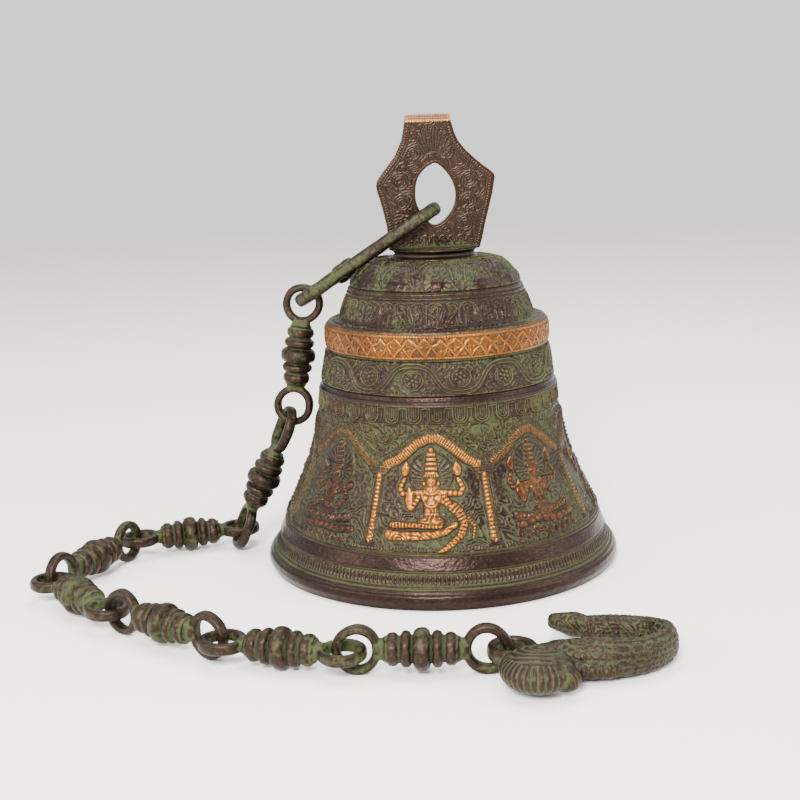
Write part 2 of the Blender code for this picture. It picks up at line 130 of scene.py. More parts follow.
def hoop(x, y, cx, cy, radius, half):
    return round_bar(np.abs(np.hypot(x - cx, y - cy) - radius), half)


def bud(x, y, cx, cy, rx, ry, tilt=0.0):
    """A leaf or bud with a point at its far end, along its own Y."""
    c, s = math.cos(tilt), math.sin(tilt)
    u = (x - cx) * c + (y - cy) * s
    v = ((y - cy) * c - (x - cx) * s) / ry
    width = rx * np.sqrt(np.clip(1 - v * v, 0, 1)) * (1 - 0.55 * np.clip(v, 0, 1)) + 1e-6
    return np.where(np.abs(v) < 1, np.sqrt(np.clip(1 - (u / width) ** 2, 0, 1)), 0.0)


def arc(cx, cy, rx, ry, start, end, steps=9):
    """Points of an elliptic arc between two angles in degrees."""
    angles = [math.radians(start + (end - start) * i / steps) for i in range(steps + 1)]
    return [(cx + rx * math.cos(a), cy + ry * math.sin(a)) for a in angles]


def whorls(x, y, turn=0.0, density=6.0):
    """Fine engraved lines that wander in whorls over a surface, 0 to 1."""
    field = (np.sin(x * 0.23 + 1.7 * np.sin(y * 0.19 + turn))
        + np.cos(y * 0.25 + 1.9 * np.sin(x * 0.15 - turn))
        + 0.3 * np.sin(x * 0.61 + y * 0.53 + turn))
    return np.abs(np.sin(field * density))


def grains(shape, seed):
    return np.random.default_rng(seed).random(shape)


def blurred(field, rows, cols):
    """Mean over a box; the columns go round the bell."""
    total = field.astype(float)
    for axis, reach, mode in ((0, rows, "edge"), (1, cols, "wrap")):
        if reach < 1:
            continue
        pad = [(0, 0), (0, 0)]
        pad[axis] = (reach + 1, reach)
        sums = np.cumsum(np.pad(total, pad, mode=mode), axis=axis)
        n = 2 * reach + 1
        size = field.shape[axis]
        upper = np.take(sums, range(n, n + size), axis=axis)
        total = (upper - np.take(sums, range(0, size), axis=axis)) / n
    return total


def fold(theta, count, offset=0.0):
    """Angle from the middle of the nearest of count equal cells, and that cell's number."""
    step = TURN / count
    cell = np.round((theta - offset) / step)
    return theta - offset - cell * step, cell.astype(int) % count


# ---------------------------------------------------------------- meshes
def add_attribute(mesh, name, values):
    attribute = mesh.attributes.new(name, "FLOAT", "POINT")
    attribute.data.foreach_set("value", np.asarray(values, np.float32).ravel())


def new_object(name, mesh, material, body, replaced=()):
    obj = bpy.data.objects.new(name, mesh)
    bpy.context.scene.collection.objects.link(obj)
    mesh.materials.clear()
    mesh.materials.append(material)
    mesh.shade_smooth()
    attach(obj, body)
    if replaced:
        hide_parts(*replaced)
    return obj


def grid_mesh(name, points, attributes):
    """A mesh from rows of points that each go once round."""
    rows, cols = points.shape[:2]
    index = np.arange(rows * cols).reshape(rows, cols)
    right = np.roll(index, -1, axis=1)
    faces = np.stack([index[1:], right[1:], right[:-1], index[:-1]], axis=-1).reshape(-1, 4)
    mesh = bpy.data.meshes.new(name)
    mesh.from_pydata(points.reshape(-1, 3).tolist(), [], faces.tolist())
    for key, values in attributes.items():
        add_attribute(mesh, key, values)
    return mesh


class Turned:
    """A softened profile, measured by the length along it."""

    def __init__(self, outline, soften):
        fine = 0.0002
        pts = np.array(outline)
        run = np.concatenate([[0], np.cumsum(np.hypot(*np.diff(pts, axis=0).T))])
        at = np.arange(0, run[-1], fine)
        r, z = np.interp(at, run, pts[:, 0]), np.interp(at, run, pts[:, 1])
        reach = int(soften / fine)
        for _ in range(2):
            r, z = [blurred(v[:, None], reach, 0)[:, 0] for v in (r, z)]
        r[0], z[0] = outline[0]
        r[-1], z[-1] = outline[-1]
        self.r, self.z = r, z
        self.run = np.concatenate([[0], np.cumsum(np.hypot(np.diff(r), np.diff(z)))])

    def at_height(self, height):
        return float(np.interp(-height, -self.z, self.run))

    def points(self, lengths):
        r, z = np.interp(lengths, self.run, self.r), np.interp(lengths, self.run, self.z)
        step = 0.0004
        dr = np.interp(lengths + step, self.run, self.r) - np.interp(lengths - step, self.run, self.r)
        dz = np.interp(lengths + step, self.run, self.z) - np.interp(lengths - step, self.run, self.z)
        norm = np.hypot(dr, dz) + 1e-12
        return r, z, -dz / norm, dr / norm


OUTSIDE = Turned(PROFILE, 0.0005)
PANEL_FLOOR = 0.039            # height at which the figures stand
BASE_RUN = OUTSIDE.at_height(PANEL_FLOOR) / MM
MIDDLE_RADIUS = 78.0           # mm
TUCK = 0.0012                  # how far a band's edges dip under the next band
OVERLAP = 0.0003


def band(name, top, bottom, columns, rows, pattern, material, fade=(True, True)):
    """A relief band of the bell between two heights.

    pattern(theta, run, height, radius) gives relief in mm, the share of gilt metal (on the front panel
    raised further as painted highlight) and the share of bare dark metal.  run is the length down the
    profile in mm, height in mm above the table.  An edge that doesn't fade carries its relief on into
    the next band.
    """
    start = 0.0 if top is None else OUTSIDE.at_height(top)
    stop = OUTSIDE.run[-1] if bottom is None else OUTSIDE.at_height(bottom)
    lengths = np.linspace(start - (top is not None) * OVERLAP, stop + (bottom is not None) * OVERLAP, rows)
    r, z, nr, nz = OUTSIDE.points(lengths)
    theta = TURN * np.arange(columns) / columns
    T = np.broadcast_to(theta, (rows, columns))
    run, height, radius = [np.broadcast_to((v / MM)[:, None], (rows, columns)) for v in (lengths, z, r)]
    relief, gild, bare = pattern(T, run, height, radius)
    edge = np.ones_like(relief)
    if fade[0]:
        edge = edge * ease(start / MM, start / MM + 0.8, run)
    if fade[1]:
        edge = edge * ease(0, 0.8, stop / MM - run)
    relief = relief * edge
    hand = 0.12 * np.sin(3 * T + height * 0.05) + 0.07 * np.sin(7 * T - height * 0.11)
    skin = blurred(blurred(grains(T.shape, rows + columns), 1, 1), 1, 1) - 0.5
    relief = relief + 0.55 * skin * edge
    lift = (relief + hand) * MM
    tuck = [int(top is not None), int(bottom is not None)]
    lift[0] -= TUCK * tuck[0]
    lift[-1] -= TUCK * tuck[1]
    R, Z = r[:, None] + nr[:, None] * lift, z[:, None] + nz[:, None] * lift
    points = np.stack([AXIS_X + R * np.cos(T), AXIS_Y + R * np.sin(T), Z], axis=-1)
    row_mm = (stop - start) / MM / rows
    col_mm = TURN * float(r.mean()) / MM / columns
    wide = blurred(relief, round(1.7 / row_mm), round(1.7 / col_mm))
    tight = blurred(relief, max(1, round(0.5 / row_mm)), max(1, round(0.5 / col_mm)))
    wear = np.clip((relief - wide) * 1.1 + (relief - tight) * 1.3, -1, 1)
    mesh = grid_mesh(name, points, {"wear": wear, "gild": np.clip(gild, 0, 1), "bare": np.clip(bare, 0, 1)})
    return new_object(name, mesh, material, "bell", ("bell_body",))


# ---------------------------------------------------------------- the bell's bands
def top_of(*reliefs):
    return np.maximum.reduce(reliefs)


def from_front(T):
    """Length round the bell from its front, in mm, on a circle of its middle size."""
    return (np.mod(T - FRONT + math.pi, TURN) - math.pi) * MIDDLE_RADIUS


def crown_pattern(T, run, height, radius):
    """Twelve overlapping lotus arches that open towards the lug, with smooth lobes below."""
    f, _ = fold(T, 12, FRONT)
    x, y = f / (math.pi / 12) * 9.6, 30.5 - run
    q = np.hypot(x / 9.4, y / 20.0)
    around = np.arctan2(y / 20.0, x / 9.4)
    body = ease(1.04, 0.96, q) * 0.5
    rims = top_of(round_bar((q - 1.0) * 11, 0.75), 0.8 * round_bar((q - 0.72) * 11, 0.6))
    beads = round_bar((q - 0.86) * 11, 0.8) * np.clip(np.sin(around * 26), 0, 1)
    fan = ease(0.68, 0.60, q) * ease(0.22, 0.34, q) * (0.35 + 0.5 * np.abs(np.cos(around * 9)))
    lobe = oval(x, y, 0, -3.2, 3.6, 4.2)
    side = top_of(*[bud(x, y, s * 9.6, 3.5, 2.6, 6.0) for s in (-1, 1)],
        *[0.8 * hoop(x, y, s * 7.0, 13.5, 1.6, 0.55) for s in (-1, 1)])
    inner = ease(24.5, 23.5, y) * ease(-1, 0.5, y)
    relief = top_of(body + 0.75 * rims * inner, body + 0.65 * beads * inner, body + 0.45 * fan,
        1.35 * lobe, 1.0 * side * inner)
    ring = top_of(*[round_bar(run - c, 0.8) for c in (4.6, 6.4)])
    leafy = 0.75 * whorls(from_front(T), run * 1.1, 0.6, 4.5) * ease(3.0, 5.0, run)
    return 1.45 * top_of(relief, 0.7 * ring, leafy), 0.10 * lobe, 0.9 * lobe


def frieze_pattern(T, run, height, radius):
    """Two rings over a frieze of palmettes, leaves and small beaded pillars."""
    rings = top_of(round_bar(height - 187.6, 0.85), round_bar(height - 185.2, 0.95),
        0.8 * round_bar(height - 167.9, 0.6))
    f, cell = fold(T, 18, FRONT + 0.05)
    x, y = f / (math.pi / 18) * 11.0, (height - 169.0) * 1.06
    flip = np.where(cell % 2 == 0, 1.0, -1.0)
    x = x * flip
    pillar = top_of(rope(x, y, [(-10.8, 0.6), (-10.8, 14.0)], 1.2, 1.7),
        rope(x, y, [(10.8, 0.6), (10.8, 14.0)], 1.2, 1.7))
    leaf = top_of(bud(x, y, -0.5, 7.2, 3.0, 6.6, -0.28), 0.9 * bud(x, y, 5.6, 5.6, 1.9, 5.4, -0.75))
    vein = 1 - 0.45 * line(x, y, [(-2.2, 1.5), (1.2, 12.5)], 0.5)
    stems = top_of(line(x, y, arc(-5.6, 5.2, 3.0, 4.6, -80, 160), 0.6),
        line(x, y, arc(-5.6, 10.6, 1.9, 2.2, -30, 250), 0.5),
        line(x, y, arc(6.0, 10.8, 2.6, 2.4, -160, 150), 0.55),
        line(x, y, [(8.3, 0.8), (7.6, 5.0), (8.6, 8.6)], 0.55),
        oval(x, y, -5.6, 5.4, 1.5, 1.5), oval(x, y, 6.0, 10.9, 1.1, 1.1),
        *[line(x, y, [(px, 0.5), (px + dx, 4.2)], 0.5)
            for px, dx in ((-8.2, 1.0), (-3.6, -0.8), (2.8, 1.0), (4.8, 0.3))])
    arches = top_of(line(x, y, arc(-5.6, 11.5, 5.0, 3.3, 10, 170), 0.55),
        line(x, y, arc(5.6, 11.5, 5.0, 3.3, 10, 170), 0.55))
    scene = top_of(0.75 * pillar, 1.15 * leaf * vein, 0.8 * stems, 0.75 * arches)
    scene = scene * ease(0.0, 0.8, y) * ease(16.6, 15.6, y)
    ground = 0.5 * whorls(from_front(T), height * 1.2, 1.9, 4.0) * ease(183.0, 181.5, height)
    return 1.5 * top_of(rings * 0.7, scene, ground), np.zeros(T.shape), 0.8 * leaf * (flip > 0) + 0.2 * rings


def gold_pattern(T, run, height, radius):
    """The raised gilt band: crossed zigzag lines with a small leaf in each field."""
    face = ease(148.6, 149.8, height) * ease(166.6, 165.4, height)
    edges = top_of(rope(from_front(T), height, [(-900, 163.6), (900, 163.6)], 0.95, 1.9, depth=0.2),
        rope(from_front(T), height, [(-900, 150.2), (900, 150.2)], 0.95, 1.9, depth=0.2))
    f, _ = fold(T, 24, FRONT)
    x, y = f / (math.pi / 24) * 9.8, height - 156.9
    x = x + 0.9 * np.sin(T * 37 + 0.3 * y) * np.cos(math.pi * x / 19.6)
    y = y + 0.7 * np.sin(T * 23 + x * 0.2)
    peak = 5.6
    zig = top_of(line(x, y, [(-9.8, -peak), (0, peak), (9.8, -peak)], 0.95),
        0.9 * line(x, y, [(-9.8, peak), (0, -peak), (9.8, peak)], 0.85))
    leaves = top_of(bud(x, y, 0, 3.4, 1.9, 2.6), bud(x, -y, 0, 3.4, 1.9, 2.6),
        *[bud(x, y, s * 9.8, 3.2, 1.7, 2.8) for s in (-1, 1)],
        *[bud(x, -y, s * 9.8, 3.2, 1.7, 2.8) for s in (-1, 1)],
        *[0.8 * bud(x, y, s * 4.9, t * 4.0, 1.2, 2.0, s * t * 0.7) for s in (-1, 1) for t in (-1, 1)],
        *[0.9 * bud(x, y, s * 6.9, 0.0, 1.3, 2.9, s * 1.45) for s in (-1, 1)])
    hatch = 0.62 * whorls(from_front(T), height * 1.3, 0.2, 3.6) * ease(6.6, 5.8, np.abs(y))
    lower = 0.7 * round_bar(height - 147.0, 0.6)
    dents = 0.16 * np.sin(x * 0.7 + T * 31) * np.sin(y * 0.8 + T * 17)
    relief = face * top_of(0.9 * edges, 1.0 * zig, 0.85 * leaves, hatch + dents)
    return top_of(relief, lower), face * (0.62 + 0.2 * zig + 0.1 * np.sin(T * 9 + 1)), np.zeros(T.shape)


def scroll_pattern(T, run, height, radius):
    """A double vine in waves, with a rosette in each bend and trefoils between."""
    count = 16
    f, cell = fold(T, count, FRONT + math.radians(8.9))
    side = np.where(cell % 2 == 0, 1.0, -1.0)
    x = f * radius
    y = (height - 137.2) * side
    swing = math.pi / (TURN / count)
    slope = np.cos(f * swing)
    wave = -8.4 * np.tanh(1.6 * slope) / math.tanh(1.6)
    steep = 8.4 * 1.6 / math.tanh(1.6) / np.cosh(1.6 * slope) ** 2 * np.sin(f * swing) * swing / radius
    gap = (y - wave) / np.sqrt(1 + steep ** 2)
    vine = top_of(round_bar(gap - 1.05, 0.72), round_bar(gap + 1.05, 0.72),
        0.5 * ease(2.4, 1.6, np.abs(gap)))
    curl = top_of(line(x, y, arc(0, 0.9, 7.0, 6.3, -200, 95), 0.62),
        0.8 * line(x, y, arc(0, 0.6, 5.2, 4.7, -260, 60), 0.5))
    petals = top_of(*[oval(x, y, 2.9 * math.cos(a), 0.6 + 2.9 * math.sin(a), 1.5, 1.15, a)
            for a in [TURN * i / 6 + 0.3 for i in range(6)]])
    heart = oval(x, y, 0, 0.6, 1.35, 1.35)
    lost = top_of(*[line(x, y, [(s * 5.6, 8.4), (s * 8.2, 5.4)], 0.6) for s in (-1, 1)],
        *[bud(x, y, s * 12.6, 6.6, 1.3, 2.6, s * 0.7) for s in (-1, 1)],
        *[hoop(x, y, s * 10.0, 8.6, 1.5, 0.5) for s in (-1, 1)],
        *[oval(x, y, s * px, py, 0.95, 0.95)
            for s in (-1, 1) for px, py in ((13.6, 9.3), (11.6, 3.4), (9.3, 1.0))])
    borders = top_of(round_bar(height - 126.9, 0.7))
    relief = top_of(0.95 * vine, 0.8 * curl, 0.85 * petals, 1.0 * heart, 0.7 * lost)
    relief = relief * ease(126.2, 127.6, height) * ease(147.8, 146.6, height)
    ground = 0.34 * whorls(from_front(T), height * 1.2, 2.4, 4.6) * ease(127.0, 128.4, height)
    return 1.55 * top_of(relief, 0.7 * borders, ground), np.zeros(T.shape), np.zeros(T.shape)


TABS = 35


def tab_pattern(T, run, height, radius):
    """A smooth ridge, and under it fluted tabs over a second row of scallops."""
    f, _ = fold(T, TABS, FRONT + math.radians(-2.5))
    x, y = f * radius, height - 109.6
    half = math.pi / TABS * radius
    u = np.where(y > 4.6, np.abs(x), np.hypot(x, y - 4.6)) - 4.7
    body = 0.35 * ease(0.3, -0.3, u)
    outline = top_of(round_bar(u, 0.62), 0.8 * round_bar(u + 1.7, 0.45))
    flutes = top_of(*[line(x, y, [(px, 3.0), (px, 12)], 0.38) for px in (-1.3, 0.0, 1.3)])
    flutes = flutes * ease(-2.0, -2.4, u)
    between = np.abs(np.abs(x) - half)
    gap = 0.6 * round_bar(between, 0.5) * ease(2.5, 4.0, y)
    second = np.hypot(half - np.abs(x), y - 3.2) - 6.6
    back = 1.0 * round_bar(second, 0.75) * ease(-0.2, 0.4, u)
    tabs = top_of(body + 0.75 * outline, body + 0.6 * flutes, gap, back) * ease(11.0, 10.4, y)
    ridge = 0.55 * round_bar(height - 123.8, 2.4) ** 0.6
    fine = top_of(round_bar(height - 120.7, 0.55), 0.6 * round_bar(height - 126.2, 0.5))
    return top_of(1.6 * tabs, ridge, 1.2 * fine), np.zeros(T.shape), 0.8 * ridge


def arch_border(x, y, apex):
    """The rope arch of a panel, its rim and the row of beads over it."""
    points = [(-29, 48.4), (-22, 51.5), (-15.5, 56.6), (-9.5, 62.0), (apex - 3, 65.6), (apex + 3, 65.9),
        (9.5, 62.6), (16, 57.4), (22.5, 52.2), (29, 48.6)]
    gap, along = near(x, y, points)
    outside = y > np.interp(x, [p[0] for p in points], [p[1] for p in points])
    ribs = 1 - 0.35 * (0.5 + 0.5 * np.cos(TURN * along / 1.65)) ** 2
    main = 1.85 * round_bar(gap, 2.9) * ribs
    rim = 0.7 * round_bar(gap - 3.1, 0.5)
    beads = 0.65 * round_bar(gap - 4.6, 0.75) * np.clip(np.sin(TURN * along / 1.9), 0, 1) * outside
    outer = 0.6 * round_bar(gap - 6.1, 0.45) * outside
    return main, top_of(rim, beads, outer), gap, outside


def pendants(x, y, half):
    """The hanging cluster between two arches, about the panel's edge."""
    p = half - np.abs(x)
    scallops = top_of(*[line(p, y, arc(0, 67.5, r, r * 0.95, -180, 0), 0.5) for r in (7.6, 5.9, 2.3)])
    drops = top_of(*[oval(p, y, 4.1 * math.cos(a), 67.0 + 4.1 * math.sin(a), 0.95, 0.95)
            for a in [math.radians(d) for d in (-160, -125, -90, -55, -20)]])
    tip = top_of(oval(p, y, 0, 57.9, 2.1, 2.1), oval(p, y, 0, 55.0, 1.2, 1.6),
        0.8 * hoop(p, y, 0, 57.9, 3.1, 0.5), 0.8 * oval(p, y, 2.8, 61.0, 1.0, 1.0))
    small = top_of(*[line(p, y, arc(c, 71.0, 3.6, 3.4, -180, 0), 0.5) for c in (12.0, 19.5, 27.0)],
        *[oval(p, y, c, 70.4, 1.1, 1.1) for c in (12.0, 19.5, 27.0)])
    return 0.75 * top_of(scallops, drops, tip, small)


def pillar(x, y, half):
    """A ribbed column on the panel's edge, its base block and its capital."""
    p = np.abs(x) - half
    shaft = 1.9 * rope(p, y, [(0.0, 0.6), (0.0, 41.0)], 3.1, 2.6, 2.5, 0.3)
    edging = 0.6 * round_bar(np.abs(p) - 3.6, 0.6) * ease(-0.5, 1, y) * ease(42.5, 41.5, y)
    block = 0.9 * ease(4.6, 4.1, np.abs(p)) * ease(-4.4, -3.8, y) * ease(0.4, -0.1, y)
    capital = top_of(*[rope(p, y, [(-w, h), (w, h)], 1.15, 1.5)
            for w, h in ((7.6, 46.6), (6.2, 44.4), (4.2, 42.6))])
    return shaft, top_of(edging, block), 1.25 * capital


def pair(make):
    """The same thing on both sides, s being -1 and 1."""
    return [make(s) for s in (-1, 1)]


def figure(x, y, kind):
    """A small seated or standing figure of the panels; all are plain, generic figures."""
    face = top_of(2.3 * oval(x, y, 0, 38.4, 3.5, 4.2),
        *pair(lambda s: 2.0 * oval(x, y, s * 4.4, 37.2, 1.2, 2.0)))
    detail = top_of(*pair(lambda s: oval(x, y, s * 1.4, 39.2, 0.85, 0.5)),
        oval(x, y, 0, 37.9, 0.65, 1.5), 0.8 * oval(x, y, 0, 35.8, 1.1, 0.4))
    crown = top_of(2.3 * rope(x, y, [(0, 42.2), (0, 50.0), (0, 57.0)], 4.9, 3.0, 3.0, 0.42),
        2.0 * oval(x, y, 0, 58.6, 1.7, 1.9), 2.2 * rope(x, y, [(-4, 42.2), (4, 42.2)], 1.3, 1.4))
    trunk = top_of(1.5 * rope(x, y, [(0, 32.0), (0, 15.0)], 6.2, 50, 4.6, 0.0),
        1.7 * rope(x, y, [(-7.4, 31.2), (7.4, 31.2)], 2.7, 50, 2.7, 0.0),
        *pair(lambda s: 2.2 * oval(x, y, s * 3.7, 28.0, 3.1, 2.9)),
        1.6 * line(x, y, [(0, 31), (0, 35.6)], 2.0), 1.7 * oval(x, y, 0, 13.0, 9.5, 4.0))
    beads = top_of(rope(x, y, arc(0, 33.8, 4.4, 3.6, -170, -10), 0.75, 1.4),
        rope(x, y, arc(0, 33.0, 5.8, 11.0, -165, -15), 0.75, 1.4),
        rope(x, y, [(-5.0, 17.6), (5.0, 17.6)], 1.1, 1.6))
    halo = 0.7 * hoop(x, y, 0, 43.5, 13.6, 0.7) * ease(33, 36, y)
    rays = 0.35 * np.abs(np.cos(np.arctan2(x, y - 40) * 13)) * ease(13.0, 12.4, np.hypot(x, y - 43.5))
    arms, held, seat = [], [], []
    if kind in (0, 1):
        arms += pair(lambda s: rope(x, y, [(s * 7.4, 31.4), (s * 18.0, 30.6), (s * 19.6, 34.0),
                (s * 16.8, 40.0)], 2.3, 3.0, 1.6, 0.25))
        held += pair(lambda s: bud(x, y, s * 16.0, 46.4, 3.1, 4.6, s * 0.15))
        arms += [rope(x, y, [(7.2, 30.0), (12.2, 22.8), (5.8, 26.6)], 2.2, 2.6, 1.7, 0.25),
            rope(x, y, [(-7.2, 30.0), (-12.4, 21.0), (-13.0, 24.6)], 2.1, 2.6, 1.6, 0.25)]
        held += [bud(x, y, -13.4, 27.6, 3.7, 7.4, 0.05), oval(x, y, 5.4, 27.4, 2.8, 2.8)]
    if kind == 0:
        seat += [1.9 * rope(x, y, [(-25, 10.6), (-12, 10.8), (6.5, 9.8)], 2.8, 2.1, 1.3, 0.38),
            2.0 * rope(x, y, [(-26, 4.0), (-14, 3.8), (1, 4.6), (9, 6.6), (15.0, 11.0)], 3.7, 6.5, 2.1, 0.28),
            2.1 * oval(x, y, -26.0, 4.2, 4.0, 3.8),
            2.1 * rope(x, y, [(12.6, 23.0), (17.4, 18.6), (20.8, 11.6), (19.0, 5.0), (13.4, -0.8),
                (6.0, -6.2)], 3.7, 2.4, 1.7, 0.34),
            1.3 * rope(x, y, [(23.0, 15.6), (27.4, 9.4), (26.4, 2.4)], 2.1, 2.0, 1.0, 0.38)]
    if kind == 1:
        seat += [1.9 * rope(x, y, [(-23, 12.6), (-9, 9.6), (6, 11.4), (22, 13.2)], 3.1, 2.8, 2.4, 0.3),
            2.0 * rope(x, y, [(-22, 6.6), (-6, 8.6), (9, 5.4), (24, 7.0)], 3.3, 6.0, 2.6, 0.25)]
        seat += [1.5 * bud(x, y, px, 0.4, 2.9, 4.0) for px in range(-24, 25, 6)]
    if kind == 2:
        arms += pair(lambda s: rope(x, y, [(s * 7.4, 31.2), (s * 15.4, 25.0), (s * 16.8, 34.0)],
                2.3, 3.0, 1.7, 0.25))
        held += [rope(x, y, [(17.0, 3.0), (17.0, 48.0)], 1.3, 2.4), bud(x, y, 17.0, 51.0, 2.2, 4.0),
            hoop(x, y, -17.2, 38.4, 3.4, 1.4), oval(x, y, -17.2, 38.4, 1.6, 1.6)]
        seat += pair(lambda s: 1.9 * rope(x, y, [(s * 3.0, 16.0), (s * 4.6, 8.0), (s * 5.2, 1.0)],
                3.6, 3.0, 2.4, 0.3))
        seat += pair(lambda s: 1.4 * rope(x, y, [(s * 7.4, 18), (s * 12.4, 9), (s * 14.4, 2.4)],
                2.0, 1.9, 1.1))
        seat += [1.5 * bud(x, y, px, -2.4, 2.7, 3.0) for px in range(-15, 16, 6)]
    if kind == 3:
        arms += [rope(x, y, [(7.4, 31.2), (14.6, 24.4), (9.4, 16.6)], 2.3, 3.0, 1.7, 0.25),
            rope(x, y, [(-7.4, 31.2), (-15.4, 26.0), (-13.4, 36.0)], 2.3, 3.0, 1.7, 0.25)]
        held += [rope(x, y, [(-20.5, 10.0), (13.8, 31.6)], 1.7, 2.6), oval(x, y, -19.0, 10.0, 4.8, 4.4),
            oval(x, y, 14.4, 32.0, 3.4, 3.4), bud(x, y, -13.4, 40.8, 2.9, 4.4)]
        seat += [1.9 * rope(x, y, [(20, 11.5), (6, 9.0), (-8, 8.6), (-22, 9.4)], 3.4, 2.4, 2.2, 0.34),
            2.0 * rope(x, y, [(-18, 2.6), (0, 4.2), (14, 3.4), (26, 4.6)], 3.6, 5.0, 2.6, 0.25)]
        seat += [1.4 * bud(x, y, px, -2.8, 2.7, 2.8) for px in range(-21, 22, 6)]
    arms = 1.8 * top_of(*arms)
    held = 2.1 * top_of(*held)
    body = top_of(face, crown, trunk, arms, held, *seat)
    body = body + 0.6 * np.clip(beads, 0, 1) * (body > 0.2) + 0.4 * detail
    return body, top_of(halo, rays)


KINDS = (0, 1, 2, 3, 1, 0, 2, 3)
# Share of gilt on each panel, the front one first. The others' 0.34 to 0.40 is the gilt; the front panel's
# 1.0 is that gilt plus painted highlight where it faces the lights.
GILDING_AND_FRONT_HIGHLIGHT = (1.0, 0.40, 0.34, 0.36, 0.40, 0.36, 0.34, 0.34)


def panel_pattern(T, run, height, radius):
    """Eight arched panels between ribbed pillars, each with its figure."""
    f, cell = fold(T, PANELS, FRONT + PANEL_TURN)
    relief, gild, bare = [np.zeros(T.shape) for _ in range(3)]
    for index in range(PANELS):
        cols = np.where(cell[0] == index)[0]
        if not len(cols):
            continue
        own = np.ix_(range(T.shape[0]), cols)
        x, y = (f * radius)[own], BASE_RUN - run[own]
        half = math.pi / PANELS * radius[own]
        kind, gilding_and_front_highlight = KINDS[index], GILDING_AND_FRONT_HIGHLIGHT[index]
        main, trim, gap, outside = arch_border(x, y, 1.0)
        shaft, edging, capital = pillar(x, y, half)
        body, aura = figure(x, y, kind)
        inside = ease(-0.5, -3.0, np.where(outside, gap, -gap)) * ease(19, 25, y)
        hang = pendants(x, y, half) * ease(6.4, 7.2, np.where(outside, gap, -gap))
        ground = 0.55 * whorls(x, y, 0.8 * index, 3.4)
        grass = 0.45 * np.abs(np.sin(x * 1.5)) * ease(-6.6, -5.4, y) * ease(-2.4, -3.6, y)
        niche = 0.25 * inside
        field = top_of(body, aura * inside, trim, edging, hang, grass)
        relief[own] = top_of(field, main, shaft, capital) + ground * (1 - 0.8 * inside) + niche
        block = ease(-0.5, -1.5, y) * ease(-4.8, -4.0, y) * ease(5.0, 4.4, np.abs(np.abs(x) - half))
        bare[own] = top_of(0.16 * inside * ease(14, 40, y), 0.7 * block, 0.35 * np.clip(body, 0, 1))
        raised = top_of(main, shaft, 0.62 * body, 0.5 * capital)
        # Gilt on the raised parts; on the front panel the share is raised further as painted highlight.
        gild[own] = gilding_and_front_highlight * np.clip(raised - 0.18, 0, 1)
    return relief, gild, bare


def foot_pattern(T, run, height, radius):
    """The plain, polished band between two lines."""
    x = from_front(T)
    lines = top_of(round_bar(height - 31.8, 0.7), round_bar(height - 21.8, 0.6))
    plain = 0.55 * ease(22.3, 23.0, height) * ease(31.0, 30.2, height)
    dents = 0.08 * np.sin(x * 0.43) * np.sin(height * 0.9 + x * 0.15)
    return top_of(0.8 * lines, plain + dents * plain), np.zeros(T.shape), 1.9 * plain


BEADS = 256


def bead_pattern(T, run, height, radius):
    """A row of upright gadroons between two thin lines."""
    swell = np.abs(np.cos(T * BEADS / 2)) ** 0.8
    row = 0.9 * swell * np.sqrt(np.clip(1 - ((height - 17.6) / 3.1) ** 2, 0, 1))
    lines = top_of(round_bar(height - 13.3, 0.5), round_bar(height - 21.2, 0.5))
    return 1.2 * top_of(row, 0.5 * lines), np.zeros(T.shape), 0.35 * row


def lip_pattern(T, run, height, radius):
    """The plain turned lip, bare where hands and tables have rubbed it."""
    bead = 0.5 * round_bar(height - 11.2, 0.7)
    return bead, np.zeros(T.shape), ease(11.8, 10.2, height)


def build_bell(bronze, chased, gilt, inner):
    band("bell_crown_band", None, 0.1895, 1024, 96, crown_pattern, chased, (False, True))
    band("bell_frieze_band", 0.1895, 0.1668, 1280, 78, frieze_pattern, chased)
    band("bell_gilt_band", 0.1668, 0.1478, 1536, 84, gold_pattern, gilt)
    band("bell_scroll_band", 0.1478, 0.1262, 1536, 70, scroll_pattern, chased)
    band("bell_tab_band", 0.1262, 0.1090, 1536, 58, tab_pattern, chased)
    band("bell_arch_band", 0.1090, 0.0800, 1664, 92, panel_pattern, bronze, (True, False))
    band("bell_figure_band", 0.0800, 0.0580, 1664, 76, panel_pattern, bronze, (False, False))
    band("bell_seat_band", 0.0580, 0.0330, 1664, 88, panel_pattern, bronze, (False, True))
    band("bell_plain_band", 0.0330, 0.0213, 1536, 44, foot_pattern, bronze)
    band("bell_bead_band", 0.0213, 0.0122, 2304, 40, bead_pattern, bronze)
    band("bell_lip", 0.0122, None, 768, 30, lip_pattern, bronze)
    inside = Turned(WALL, 0.0012)
    lengths = np.linspace(0, inside.run[-1], 150)
    r, z, _, _ = inside.points(lengths)
    columns = 288
    T = np.broadcast_to(TURN * np.arange(columns) / columns, (len(lengths), columns))
    R = r[:, None] + 0.0002 * np.sin(3 * T + z[:, None] * 90)
    Z = np.broadcast_to(z[:, None], T.shape)
    points = np.stack([AXIS_X + R * np.cos(T), AXIS_Y + R * np.sin(T), Z], axis=-1)
    zero = np.zeros(T.shape)
    mesh = grid_mesh("bell_inside_wall", points, {"wear": zero, "gild": zero, "bare": zero + 0.6})
    new_object("bell_inside_wall", mesh, inner, "bell", ("bell_body",))


